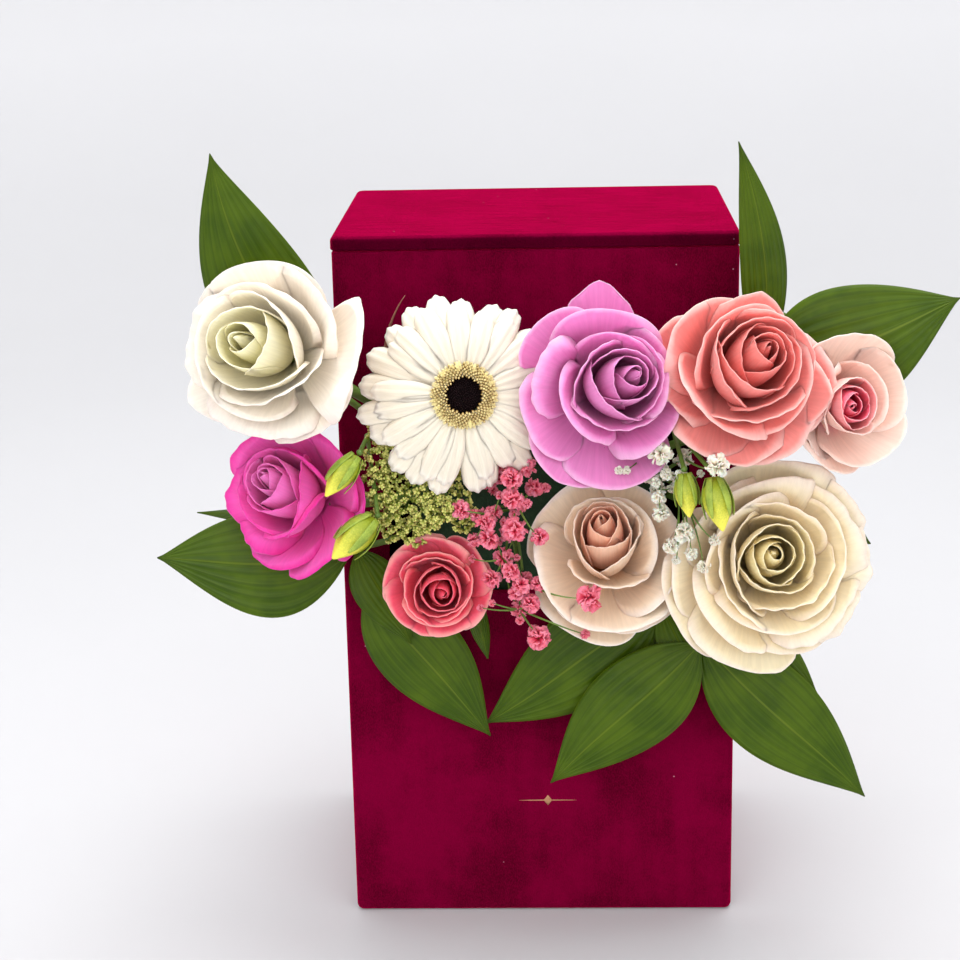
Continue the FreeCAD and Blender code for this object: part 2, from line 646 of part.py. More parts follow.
def box_nodes():
    """Body, hinge and lid."""
    nodes = boards()
    nodes["body_velvet"] = body_velvet()
    nodes["base_sheet"] = base_sheet()
    nodes["hinge_cloth"] = hinge_cloth()
    nodes["corner_blocks"] = corner_blocks()
    nodes["block_magnets"] = magnet_pair(BLOCK_TOP - MAGNET_T)
    nodes["lid_velvet"] = lid_velvet()
    nodes["lid_board"] = lid_volume(VELVET_T, 0.0)
    nodes["lid_pad"] = lid_pad()
    nodes["lid_magnets"] = magnet_pair(PAD_Z)
    nodes["foam_tray"] = foam_tray()
    nodes["foam_brick"] = foam_brick(stems_in_foam())
    return nodes


def flower_nodes():
    """Blooms, fillers, leaves and their stems."""
    nodes = {}
    for name, rose in ROSES.items():
        nodes[f"rose_{name}"] = rose_bloom(rose)
        nodes[f"rose_{name}_stem"] = rose_stem(rose)
    nodes["gerbera_rays"] = gerbera_rays()
    nodes["gerbera_eye"] = gerbera_eye()
    nodes["gerbera_ring"] = gerbera_ring()
    nodes["gerbera_stem"] = gerbera_stem()
    for name, leaf in LEAVES.items():
        nodes[f"leaf_{name}"] = leaf_blade(leaf)
    nodes["ruscus_stems"] = ruscus_stems()
    for name, spray in SPRAYS.items():
        nodes[name] = spray_heads(spray)
        nodes[f"{name}_stem"] = spray_stem(spray)
    nodes["lisianthus_buds"] = lisianthus_buds()
    nodes["lisianthus_stems"] = lisianthus_stems()
    return nodes


def main():
    """Builds every node and writes one STEP file for each."""
    os.makedirs("parts", exist_ok=True)
    for name, shape in {**box_nodes(), **flower_nodes()}.items():
        sound = all(solid.isValid() for solid in shape.Solids)
        print(name, len(shape.Solids), round(shape.Volume, 1), "sound" if sound else "not sound")
        shape.exportStep(f"parts/{name}.step")


main()
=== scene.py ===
import json
import math
from collections import namedtuple

import bpy
import numpy as np
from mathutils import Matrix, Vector


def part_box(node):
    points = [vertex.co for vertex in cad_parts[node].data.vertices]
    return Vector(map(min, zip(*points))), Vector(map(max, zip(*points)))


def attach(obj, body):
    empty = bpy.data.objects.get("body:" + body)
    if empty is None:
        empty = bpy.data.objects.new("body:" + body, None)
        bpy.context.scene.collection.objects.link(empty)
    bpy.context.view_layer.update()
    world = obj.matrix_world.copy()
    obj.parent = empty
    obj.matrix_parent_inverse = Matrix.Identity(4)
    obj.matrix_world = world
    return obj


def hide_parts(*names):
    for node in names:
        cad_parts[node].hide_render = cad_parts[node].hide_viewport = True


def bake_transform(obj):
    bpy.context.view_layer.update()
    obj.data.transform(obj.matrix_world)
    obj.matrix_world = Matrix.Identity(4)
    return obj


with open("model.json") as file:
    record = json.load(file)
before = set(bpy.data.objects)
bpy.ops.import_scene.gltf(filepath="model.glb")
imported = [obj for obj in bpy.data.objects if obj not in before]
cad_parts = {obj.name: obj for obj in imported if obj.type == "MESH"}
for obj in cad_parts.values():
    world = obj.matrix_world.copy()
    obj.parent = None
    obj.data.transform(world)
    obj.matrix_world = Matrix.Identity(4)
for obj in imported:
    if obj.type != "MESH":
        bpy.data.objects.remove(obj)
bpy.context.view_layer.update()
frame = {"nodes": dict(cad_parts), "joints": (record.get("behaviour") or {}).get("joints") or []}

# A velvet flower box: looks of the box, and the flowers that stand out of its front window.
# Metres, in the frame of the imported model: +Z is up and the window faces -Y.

MM = 0.001
FULL_TURN = 2.0 * math.pi
ROSE_SEED = 100
GERBERA_SEED = 7
LEAF_SEED = 300
SMALL_LEAF_SEED = 340
FILLER_SEED = 11
GOLDEN_TURN = math.pi * (3.0 - math.sqrt(5.0))

BODY_LOW, BODY_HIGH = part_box("body_velvet")
FRONT_Y = BODY_LOW.y
WINDOW_MIDDLE_Z = 0.207
FOIL_AT = (0.0026, 0.0545)
FOIL_PROUD = 0.08 * MM
FOIL_T = 0.2 * MM
# Lowest and highest height of the band of painted shade on the velvet along the lid's front edge
LID_EDGE_SHADE_BAND = (0.3035, 0.3094)
HINGE = Vector(frame["joints"][0]["pos_m"])

# Camera at the photograph's angle
CAMERA_AT = (0.008206, -0.938454, 0.457901)
CAMERA_TURN = (73.787, 1.171, 1.824)
CAMERA_LENS = 79.566
SENSOR = 36.0

# Lamps: name, place, size and power. They point at the middle of the box.
LAMP_TARGET = (0.0, -0.05, 0.18)
LAMPS = (
    ("key", (-0.55, -1.75, 1.25), 1.5, 15.0),
    ("fill", (0.9, -1.7, 0.8), 1.6, 9.2),
    ("top", (0.1, 0.1, 1.9), 1.2, 27.0),
)
SURROUND = 1.1

# Places in the arrangement are (x, out, up) in millimetres: out is the distance in front of the front
# face, and up the height over the window's middle. A bloom faces (right, out, up).
Rose = namedtuple("Rose", "centre facing radius height spin hand core cups guards colours")
Core = namedtuple("Core", "petals reach lean_to lean")
Guard = namedtuple("Guard", "turn reach rise wrap curl lean point")
Tints = namedtuple("Tints", "heart throat body rim under")

# A rose's spin is in degrees, and its hand, 1 or -1, is the way that its spiral turns. Core is the whorl:
# its petals, their reach as a share of the radius, the angle that it leans to, and its lean for each unit
# of height. Guards are the outer petals: angle as seen from in front (0 right, 90 up), reach in millimetres,
# rise of the rim as a share of the height, half width, roll, and lean of the rim from the axis in degrees,
# and how pointed it is.
ROSES = {
    "white": Rose((-106, 52, 66), (-0.22, 0.93, 0.30), 36, 44, 20, 1, Core(9, 0.52, 150, 0.16), 4, (
        (48, 33, 0.64, 46, 55, 52, 0), (100, 36, 0.56, 50, 50, 60, 0), (134, 38, 0.44, 38, 60, 70, 0.2),
        (172, 33, 0.57, 42, 70, 60, 0), (212, 41, 0.4, 34, 45, 74, 0.6), (262, 34, 0.5, 50, 80, 64, 0),
        (306, 38, 0.34, 40, 55, 76, 0.2), (-4, 42, 0.72, 40, 80, 38, 0),
    ), Tints("#FFF7BC", "#FFF5D2", "#FCF1DE", "#F9E4D8", "#F9E4D2")),
    "magenta": Rose((-102, 40, 1), (-0.45, 0.83, 0.33), 27, 40, 70, -1, Core(11, 0.48, 99, 0.24), 5, (
        (120, 28, 0.74, 52, 70, 46, 0), (165, 24, 0.68, 50, 80, 50, 0), (215, 24, 0.55, 45, 80, 60, 0),
        (258, 30, 0.45, 45, 60, 68, 0.2), (310, 32, 0.45, 45, 60, 66, 0), (-5, 33, 0.3, 45, 45, 74, 0),
        (45, 32, 0.55, 45, 60, 62, 0),
    ), Tints("#F886C8", "#E23A9A", "#F65CB4", "#DE2490", "#EE58AC")),
    "pink_spray": Rose((-43, 42, -36), (-0.05, 0.96, 0.28), 22, 32, 140, 1, Core(10, 0.48, -30, 0.20), 5, (
        (80, 20, 0.6, 48, 70, 52, 0), (30, 23, 0.55, 46, 70, 56, 0), (-15, 24, 0.52, 46, 70, 58, 0),
        (-60, 22, 0.52, 46, 70, 58, 0.1), (-105, 22, 0.46, 44, 60, 62, 0.4),
        (-150, 21, 0.52, 46, 70, 58, 0.1), (165, 21, 0.55, 46, 70, 56, 0), (125, 21, 0.55, 46, 70, 56, 0),
    ), Tints("#F23E5E", "#EE3A58", "#FB6078", "#FDA8A0", "#F7747E")),
    "lilac": Rose((28, 54, 50), (0.04, 0.96, 0.26), 28, 46, 200, 1, Core(10, 0.50, 25, 0.28), 4, (
        (165, 29, 0.66, 40, 95, 56, 0), (85, 31, 0.62, 55, 60, 56, 0), (0, 24, 0.7, 45, 60, 54, 0),
        (42, 28, 0.62, 42, 60, 58, 0.1), (92, 44, 0.4, 42, 20, 78, 1), (135, 38, 0.44, 36, 40, 72, 0.1),
        (205, 35, 0.45, 40, 60, 70, 0), (240, 42, 0.36, 40, 45, 78, 0.3), (278, 41, 0.36, 45, 50, 78, 0.2),
        (320, 31, 0.54, 42, 60, 64, 0.1),
    ), Tints("#DE80BA", "#CC66A8", "#E688C2", "#F2B2DA", "#E086BC")),
    "coral": Rose((82, 56, 55), (0.16, 0.94, 0.30), 35, 46, 260, -1, Core(12, 0.50, 60, 0.24), 5, (
        (144, 36, 0.6, 50, 95, 54, 0.6), (76, 36, 0.58, 48, 80, 56, 1), (26, 31, 0.6, 50, 90, 54, 0.7),
        (-16, 39, 0.52, 48, 70, 60, 1), (-92, 38, 0.5, 52, 80, 60, 0.9), (194, 33, 0.42, 42, 70, 68, 0.9),
        (155, 39, 0.34, 40, 70, 74, 0.6), (110, 35, 0.42, 44, 80, 66, 0.7), (-8, 40, 0.42, 46, 70, 68, 0.5),
        (-56, 38, 0.4, 46, 75, 70, 0.4), (242, 36, 0.38, 44, 80, 72, 0.4),
    ), Tints("#F67C74", "#F47670", "#FB9690", "#FDC4BC", "#FBA8A0")),
    "peach": Rose((127, 36, 39), (0.45, 0.85, 0.26), 22, 36, 310, 1, Core(11, 0.56, 188, 0.32), 2, (
        (84, 27, 0.7, 64, 30, 42, 0), (14, 22, 0.7, 60, 35, 42, 0), (-66, 27, 0.56, 62, 35, 54, 0),
        (-122, 29, 0.44, 52, 40, 66, 0.1), (146, 27, 0.5, 50, 40, 60, 0.1), (206, 25, 0.44, 48, 40, 62, 0),
    ), Tints("#FF1C6C", "#FA6088", "#FDD2C2", "#FEE0D4", "#FBC8B4")),
    "blush": Rose((29, 40, -24), (0.02, 0.90, 0.44), 29, 42, 40, 1, Core(11, 0.46, 104, 0.32), 3, (
        (205, 31, 0.64, 58, 55, 50, 0.1), (-20, 30, 0.6, 56, 55, 52, 0), (-82, 33, 0.62, 60, 60, 52, 0.1),
        (140, 33, 0.5, 50, 45, 62, 0), (62, 31, 0.52, 54, 45, 58, 0), (8, 32, 0.42, 46, 50, 66, 0.1),
        (-50, 35, 0.4, 48, 45, 70, 0.1), (-116, 36, 0.4, 50, 45, 70, 0),
    ), Tints("#F49C7C", "#F8BC90", "#FEE0C4", "#FEEADC", "#FDDCC0")),
    "ivory": Rose((97, 50, -25), (0.20, 0.95, 0.22), 40, 44, 100, 1, Core(12, 0.44, 140, 0.22), 6, (
        (105, 35, 0.6, 50, 80, 52, 0), (30, 35, 0.58, 48, 80, 55, 0), (-45, 35, 0.55, 48, 80, 57, 0),
        (225, 37, 0.5, 46, 70, 62, 0), (86, 42, 0.48, 46, 60, 64, 0), (48, 41, 0.46, 42, 60, 68, 0),
        (12, 39, 0.46, 42, 70, 66, 0), (-28, 39, 0.42, 42, 70, 68, 0), (-68, 41, 0.38, 40, 55, 72, 0.3),
        (248, 46, 0.32, 42, 45, 78, 0), (208, 47, 0.3, 40, 40, 80, 0), (180, 43, 0.4, 40, 55, 70, 0),
        (140, 37, 0.5, 42, 60, 62, 0),
    ), Tints("#FDE8A6", "#FBE2AE", "#FDE7BE", "#FDE4D2", "#FADCC0")),
}

GERBERA_CENTRE = (-29, 50, 47)
GERBERA_FACING = (0.16, 0.95, 0.22)
GERBERA_R = 41.0
GERBERA_EYE_R = 7.5
# Rays: count, length as a share of the reach, width, lift, droop and rise in millimetres, and colour layer.
RayRing = namedtuple("RayRing", "count share width lift droop rise layer")
RAY_RINGS = (
    RayRing(21, 1.0, 12.0, 2.2, 10.0, 0.0, 1.0), RayRing(19, 0.88, 10.6, 2.6, 7.0, 1.6, 1.0),
    RayRing(54, 0.18, 1.5, 1.2, 0.0, 2.8, 0.0),
)
RAY_T = 0.45
# Florets: count, inner and outer radius, height at the outer and inner edge, and size in millimetres, and
# lean in radians.
FloretRing = namedtuple("FloretRing", "count inner outer low high size lean")
EYE_FLORETS = FloretRing(190, 0.0, 7.0, 2.2, 4.2, 0.55, 0.7)
POLLEN_FLORETS = FloretRing(330, 7.0, 13.2, 3.2, 5.0, 0.47, 0.9)
EYE_DOME = ((0, -1.5), (7.2, -1.4), (7.4, 0.8), (6.4, 2.6), (3.6, 3.8), (0, 4.2))
RAY_COLOURS = Tints("#F2DE8C", "#F4E8C4", "#FBF0DC", "#FDF4E4", "#F0E2CA")

# A leaf runs from the top of its sprig to its tip. Width, arch and bow are in millimetres, and lift moves its
# foot towards the side that it faces.
Leaf = namedtuple("Leaf", "sprig tip width facing arch lift bow", defaults=(0.0,))
SPRIG_TOPS = {
    "upper_left": (-88, 10, 43), "left": (-78, 13, -29), "left_back": (-70, 5, -20),
    "lower_left": (-75, 13, -47), "lower_centre": (52, 11, -57), "lower_right": (69, 18, -71),
    "right_back": (80, 8, -67), "right_edge": (104, 11, -11), "upper_right": (94, 10, 49),
    "pink_spray": (-28, 24, -46),
}
LEAVES = {
    "upper_left": Leaf("upper_left", (-130, 20, 141), 44, (-0.10, 0.98, 0.10), 4, 0, 8.0),
    "left": Leaf("left", (-162, 20, -30), 46, (-0.10, 0.95, 0.28), 4, 0, 4.0),
    "olive": Leaf("left", (-55, 20, -70), 22, (0.30, 0.94, 0.10), 3, 1.6),
    "left_sliver": Leaf("left_back", (-146, 8, -14), 13, (0.0, 0.50, 0.86), 1, 0),
    "lower_left": Leaf("lower_left", (-22, 14, -115), 38, (-0.12, 0.97, 0.20), 4, 0),
    "lower_centre": Leaf("lower_centre", (-24, 12, -110), 42, (0.05, 0.98, 0.18), 4, 0.8),
    "lower_right": Leaf("lower_right", (4, 22, -134), 40, (0.05, 0.98, 0.18), 3, 0.8),
    "right_low": Leaf("lower_right", (141, 16, -144), 40, (0.10, 0.97, 0.20), 4, -0.8),
    "right_back": Leaf("right_back", (120, 10, -98), 26, (0.10, 0.97, 0.20), 1, 0),
    "right_edge": Leaf("right_edge", (140, 16, -28), 22, (0.20, 0.97, 0.10), 2, 0),
    "upper_right": Leaf("upper_right", (82, 18, 142), 20, (0.25, 0.96, 0.08), 3, 0.8, -5.0),
    "right": Leaf("upper_right", (172, 22, 78), 50, (0.08, 0.96, 0.28), 3, -0.8, -3.0),
}
SMALL_LEAVES = {
    "small_low": Leaf("pink_spray", (-22, 30, -73), 8, (0.2, 0.97, 0.1), 1, 0.4),
    "small_mid": Leaf("lower_centre", (68, 20, -86), 17, (0.1, 0.97, 0.2), 2, 0.8),
    "small_back": Leaf("lower_centre", (17, 7, -122), 24, (0.05, 0.98, 0.18), 2, -0.8),
}
# Start, middle and end of a dry tip's curve
DRY_TENDRIL = ((-63, 15, 50), (-62, 20, 70), (-53, 21, 82))
LEAF_CROWN = 2.4
LEAF_SEAT = 2.0
LEAF_T = 0.5

# Heads of a spray sit on its own stem. Those nearer the viewer may end with a radius of their own. The
# others have the spray's radius, and extra small ones are scattered between them.
Spray = namedtuple("Spray", "hub heads near radius extra", defaults=(0.0, 0))
PUFF_PETALS = 40
PUFF_T = 0.06
TWIG_STEPS = 9
GREEN_FILLER = Spray((-46, 16, 2), ((-57, 38, 14), (-46, 41, 19), (-36, 38, 13), (-56, 40, 1), (-44, 44, 6),
                                    (-34, 40, 0), (-46, 40, -7)),
                     ((-65, 40, 17), (-66, 40, 7), (-62, 40, -3), (-55, 43, 23), (-40, 44, -3),
                      (-60, 35, -12), (-51, 36, -15), (-30, 36, -8), (-63, 32, 27)))
PINK_GYPSOPHILA = Spray((-10, 16, -11), ((-20, 38, 8), (-10, 41, 10), (-1, 36, 4), (-18, 42, -5),
                                         (-8, 44, -1), (-12, 40, -14), (-14, 43, -24), (-6, 42, -34),
                                         (-8, 44, -46)),
                        ((21, 59, -36, 5.4), (0, 50, -56, 5.2), (19, 53, -54, 2.0), (-10, 50, 12, 4.4),
                         (-10, 51, 4, 4.4), (-9, 52, -9, 4.8), (-31, 46, -2, 3.9), (-21, 48, -7, 3.9),
                         (-20, 48, -14, 4.2), (-26, 44, -16, 3.2), (-4, 52, 2, 2.0), (1, 50, -13, 3.6),
                         (-19, 49, -31, 4.0), (-11, 52, -27, 4.0), (-7, 52, -33, 3.8), (0, 50, -33, 3.4),
                         (-3, 51, -41, 4.2), (-9, 50, -37, 3.4), (-19, 50, -41, 1.5), (-24, 50, -43, 1.5),
                         (-15, 42, 17, 4.4), (-4, 42, 15, 4.0)), 3.9, 26)
WHITE_GYPSOPHILA = Spray((50, 16, 3), ((42, 38, 16), (51, 42, 12), (60, 40, 17), (49, 36, 3), (58, 38, 4)),
                         ((49, 58, 24, 4.8), (71, 73, 23, 4.6), (52, 56, 15, 2.4), (58, 56, 14, 2.8),
                          (48, 54, 11, 2.2), (49, 54, 5, 3.0), (50, 54, -2, 3.6), (59, 58, -9, 4.2),
                          (54, 57, -15, 3.2), (62, 58, -18, 2.8), (56, 57, -21, 1.8), (67, 60, -23, 2.8),
                          (71, 62, -11, 2.4), (36, 57, 17, 1.8), (33, 57, 17, 1.8)), 3.3, 14)

# A bud hangs from its neck that way. Length and radius are in millimetres.
Bud = namedtuple("Bud", "neck hang length radius")
BUD_SEPAL_T = 0.3
BUDS = (
    Bud((-72, 52, 23), (-0.62, 0.25, -0.74), 21, 5.0),
    Bud((-66, 50, -4), (-0.72, 0.30, -0.62), 24, 6.6),
    Bud((59, 58, 16), (0.10, 0.25, -0.96), 18, 4.6),
    Bud((70, 64, 16), (0.16, 0.30, -0.94), 22, 5.6),
)


# Places and directions

def at(place):
    """A place in the arrangement as a point of the frame."""
    x, out, up = place
    return np.array([x * MM, FRONT_Y - out * MM, WINDOW_MIDDLE_Z + up * MM])


def heading(facing):
    """A direction in the arrangement as a unit vector of the frame."""
    right, out, up = facing
    return unit(np.array([right, -out, up], float))


def unit(vectors):
    """Vectors divided by their lengths."""
    return vectors / np.maximum(np.linalg.norm(vectors, axis=-1, keepdims=True), 1e-12)


def smooth(low, high, values):
    """0 under low, 1 over high, and a smooth step between."""
    share = np.clip((values - low) / (high - low), 0.0, 1.0)
    return share * share * (3.0 - 2.0 * share)


def bloom_frame(facing):
    """Columns right, up and out of a bloom that faces that way, as seen from in front of it."""
    axis = heading(facing)
    up = unit(np.array([0.0, 0.0, 1.0]) - axis[2] * axis)
    return np.stack([np.cross(up, axis), up, axis], axis=1)


def frames_along(directions, spins):
    """One frame for each direction: its third column is the direction, and spin turns the other two."""
    axis = unit(directions)
    aside = np.where(np.abs(axis[:, 2:]) < 0.9, [[0.0, 0.0, 1.0]], [[1.0, 0.0, 0.0]])
    first = unit(np.cross(aside, axis))
    second = np.cross(axis, first)
    c, s = np.cos(spins)[:, None], np.sin(spins)[:, None]
    return np.stack([c * first + s * second, c * second - s * first, axis], axis=2)


def ring_angles(sides):
    """Equal steps of a full turn."""
    return np.arange(sides) * FULL_TURN / sides


def patch(rows, columns, edge=1):
    """Parameters of a blade: a column v from 0 to 1 along it, and a row u from -edge to edge across it."""
    return np.linspace(0, 1, rows)[:, None], np.linspace(-edge, edge, columns)[None, :]


def xyz(x, y, z):
    """Points of three arrays that spread over one another."""
    return np.stack(np.broadcast_arrays(x, y, z), axis=-1)


def about_axis(out, across, up, turn):
    """Points some way out from an axis, across and up it, turned round it."""
    c, s = math.cos(turn), math.sin(turn)
    return xyz(out * c - across * s, out * s + across * c, up)


# Shapes as whole arrays

Shape = namedtuple("Shape", "points polygons uv marks")


def grid_faces(rows, columns, wrap=False):
    """Quads between neighbours of a grid stored row by row. Wrap joins the last column to the first."""
    i, j = np.meshgrid(np.arange(rows - 1), np.arange(columns - (not wrap)), indexing="ij")
    near, far = i * columns, (i + 1) * columns
    k = (j + 1) % columns
    return np.stack([near + j, near + k, far + k, far + j], axis=-1).reshape(-1, 4)


def blade(face, thickness, marks):
    """A closed thin blade. Its front is a grid of rows along and columns across, its back is the same grid
    moved against the normals by the thickness, and a band of quads round the rim joins the two."""
    rows, columns = face.shape[:2]
    count = rows * columns
    normal = unit(np.cross(np.gradient(face, axis=1), np.gradient(face, axis=0)))
    back = face - normal * thickness
    front = grid_faces(rows, columns)
    rim = np.concatenate([
        np.arange(columns),
        np.arange(1, rows) * columns + columns - 1,
        (rows - 1) * columns + np.arange(columns - 2, -1, -1),
        np.arange(rows - 2, 0, -1) * columns,
    ])
    after = np.roll(rim, -1)
    band = np.stack([after, rim, rim + count, after + count], axis=1)
    across, along = np.meshgrid(np.linspace(0, 1, columns), np.linspace(0, 1, rows))
    uv = np.stack([across, along], axis=-1).reshape(-1, 2)
    kept = {key: np.tile(np.broadcast_to(value, (rows, columns)).ravel(), 2) for key, value in marks.items()}
    kept["inside"] = np.repeat([0.0, 1.0], count)
    return Shape(np.concatenate([face.reshape(-1, 3), back.reshape(-1, 3)]),
                 [front, front[:, ::-1] + count, band], np.tile(uv, (2, 1)), kept)


def ringed(rings, foot, top):
    """A closed form through rings of points, with fans to a pole on the axis at its foot and at its top."""
    count, sides = rings.shape[:2]
    points = np.concatenate([rings.reshape(-1, 3), [[0, 0, foot], [0, 0, top]]])
    j = np.arange(sides)
    k = (j + 1) % sides
    last = (count - 1) * sides
    low = np.stack([k, j, np.full(sides, count * sides)], axis=1)
    high = np.stack([last + j, last + k, np.full(sides, count * sides + 1)], axis=1)
    along = np.concatenate([np.repeat(np.linspace(0, 1, count), sides), [0.0, 1.0]])
    around = np.concatenate([np.tile(j / sides, count), [0.5, 0.5]])
    return Shape(points, [grid_faces(count, sides, wrap=True), low, high],
                 np.stack([around, along], axis=1), {"along": along})


def turned(profile, sides, squeeze=1.0):
    """A closed lathe form of a (radius, height) profile whose ends are its poles. Squeeze is a factor on the
    radius, one for all or one for each ring and side."""
    profile = np.asarray(profile, float)
    angle = ring_angles(sides)
    radius = profile[1:-1, :1] * np.ones(sides) * squeeze
    rings = xyz(radius * np.cos(angle), radius * np.sin(angle), profile[1:-1, 1:])
    return ringed(rings, profile[0, 1], profile[-1, 1])


def tubes(paths, radii, sides):
    """Closed round tubes: a ring of points square to each point of each path, and a flat cap at either end.
    Paths are (count, steps, 3), and radii (count, steps)."""
    count, steps = paths.shape[:2]
    run = unit(np.gradient(paths, axis=1))
    side = unit(np.cross(run, np.array([0.31, 0.17, 0.93])))
    up = np.cross(run, side)
    angle = ring_angles(sides)
    ring = side[:, :, None] * np.cos(angle)[:, None] + up[:, :, None] * np.sin(angle)[:, None]
    points = paths[:, :, None] + ring * radii[:, :, None, None]
    start = np.arange(count)[:, None, None] * (steps * sides)
    walls = (grid_faces(steps, sides, wrap=True)[None] + start).reshape(-1, 4)
    first = (np.arange(sides)[::-1] + start[:, 0]).reshape(-1, sides)
    last = (np.arange(sides) + (steps - 1) * sides + start[:, 0]).reshape(-1, sides)
    along = np.broadcast_to(np.linspace(0, 1, steps)[None, :, None], (count, steps, sides)).ravel()
    around = np.broadcast_to(angle / FULL_TURN, (count, steps, sides)).ravel()
    uv = np.stack([around, along], axis=1)
    return Shape(points.reshape(-1, 3), [walls, first, last], uv, {"along": along})


def arcs(starts, middles, ends, steps):
    """Paths along quadratic curves that leave each start towards its middle and arrive at its end."""
    t = np.linspace(0, 1, steps)[None, :, None]
    return (1 - t) ** 2 * starts[:, None] + 2 * t * (1 - t) * middles[:, None] + t ** 2 * ends[:, None]


def scattered(shape, turns, places, scales, shade):
    """Copies of a small shape, each turned by its 3 by 3 frame, scaled, shaded and moved to its place."""
    count, size = len(places), len(shape.points)
    points = np.einsum("kij,nj->kni", turns, shape.points) * scales[:, None, None] + places[:, None]
    start = np.arange(count)[:, None, None] * size
    polygons = [(p[None] + start).reshape(-1, p.shape[1]) for p in shape.polygons]
    marks = {key: np.tile(value, count) for key, value in shape.marks.items()}
    marks["shade"] = np.repeat(shade, size)
    return Shape(points.reshape(-1, 3), polygons, np.tile(shape.uv, (count, 1)), marks)


def joined(shapes):
    """Several shapes as one. They have the same marks."""
    starts = np.cumsum([0] + [len(s.points) for s in shapes])
    polygons = [p + start for s, start in zip(shapes, starts) for p in s.polygons]
    marks = {key: np.concatenate([s.marks[key] for s in shapes]) for key in shapes[0].marks}
    return Shape(np.concatenate([s.points for s in shapes]), polygons,
                 np.concatenate([s.uv for s in shapes]), marks)


def with_zeros(shape, *keys):
    """A shape with more marks, which are 0 all over."""
    return shape._replace(marks={**shape.marks, **dict.fromkeys(keys, np.zeros(len(shape.points)))})


def carried(shape, turn, place):
    """A shape in its own millimetres turned by a frame and moved to a place."""
    return shape._replace(points=shape.points * MM @ turn.T + place)


def placed(name, data):
    """A new object in the scene."""
    made = bpy.data.objects.new(name, data)
    bpy.context.scene.collection.objects.link(made)
    return made


def piece(name, shape, material, body="box", stands_for=()):
    """A mesh object of the shape that rides on a body."""
    mesh = bpy.data.meshes.new(name)
    corners = np.concatenate([p.ravel() for p in shape.polygons]).astype(np.int32)
    sizes = np.concatenate([np.full(len(p), p.shape[1]) for p in shape.polygons])
    starts = np.concatenate([[0], np.cumsum(sizes)[:-1]]).astype(np.int32)
    mesh.vertices.add(len(shape.points))
    mesh.vertices.foreach_set("co", shape.points.astype(np.float32).ravel())
    mesh.loops.add(len(corners))
    mesh.loops.foreach_set("vertex_index", corners)
    mesh.polygons.add(len(sizes))
    mesh.polygons.foreach_set("loop_start", starts)
    mesh.uv_layers.new(name="UVMap").data.foreach_set("uv", shape.uv[corners].astype(np.float32).ravel())
    for key, values in shape.marks.items():
        mesh.attributes.new(key, "FLOAT", "POINT").data.foreach_set("value", values.astype(np.float32))
    mesh.update(calc_edges=True)
    mesh.validate()
    mesh.shade_smooth()
    mesh.materials.append(material)
    made = placed(name, mesh)
    if body:
        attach(made, body)
    if stands_for:
        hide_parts(*stands_for)
    return made


# Shader helpers

def colour(code):
    """A #RRGGBB colour as the linear values that shaders take."""
    parts = np.array([int(code[k:k + 2], 16) for k in (1, 3, 5)]) / 255.0
    linear = np.where(parts <= 0.04045, parts / 12.92, ((parts + 0.055) / 1.055) ** 2.4)
    return (*linear.tolist(), 1.0)


def plug(tree, socket, value):
    """Links a socket to another, or sets its value. A #RRGGBB code stands for its colour."""
    if isinstance(value, bpy.types.NodeSocket):
        tree.links.new(value, socket)
    else:
        socket.default_value = colour(value) if isinstance(value, str) else value


def node(tree, kind, inputs=None, **settings):
    """A shader node with its settings, and its inputs linked or set."""
    made = tree.nodes.new("ShaderNode" + kind)
    for key, value in settings.items():
        setattr(made, key, value)
    for key, value in (inputs or {}).items():
        plug(tree, made.inputs[key], value)
    return made


def mixed(tree, share, first, second, how="MIX"):
    """One colour blended over another."""
    made = node(tree, "Mix", data_type="RGBA", blend_type=how)
    for index, value in ((0, share), (6, first), (7, second)):
        plug(tree, made.inputs[index], value)
    return made.outputs[2]


def calc(tree, operation, *values):
    """A number worked out from others."""
    return node(tree, "Math", dict(enumerate(values)), operation=operation).outputs[0]


def times(tree, first, second):
    """The product of two numbers."""
    return calc(tree, "MULTIPLY", first, second)


def ranged(tree, value, low, high, to_low=0.0, to_high=1.0):
    """A value carried from one range to another by a smooth step."""
    limits = {"Value": value, "From Min": low, "From Max": high, "To Min": to_low, "To Max": to_high}
    return node(tree, "MapRange", limits, interpolation_type="SMOOTHSTEP").outputs["Result"]


def mark(tree, name):
    """A named point value of the piece."""
    return node(tree, "Attribute", attribute_name=name).outputs["Fac"]


def scaled(tree, vector, scale):
    """A vector scaled along its axes."""
    return node(tree, "Mapping", {"Vector": vector, "Scale": scale}).outputs["Vector"]


def surface_uv(tree, across=1.0, along=1.0):
    """The piece's own UV map, scaled."""
    return scaled(tree, node(tree, "UVMap", uv_map="UVMap").outputs["UV"], (across, along, 1.0))


def space(tree, x=1.0, y=1.0, z=1.0):
    """The object's own coordinates, scaled."""
    return scaled(tree, node(tree, "TexCoord").outputs["Object"], (x, y, z))


def part_of(tree, vector, axis):
    """One of a vector's three parts."""
    return node(tree, "SeparateXYZ", {"Vector": vector}).outputs[axis]


def noise(tree, vector, scale=1.0, detail=3.0, rough=0.55):
    """Soft noise from 0 to 1."""
    made = node(tree, "TexNoise", {"Vector": vector, "Scale": scale, "Detail": detail, "Roughness": rough})
    return made.outputs["Fac"]


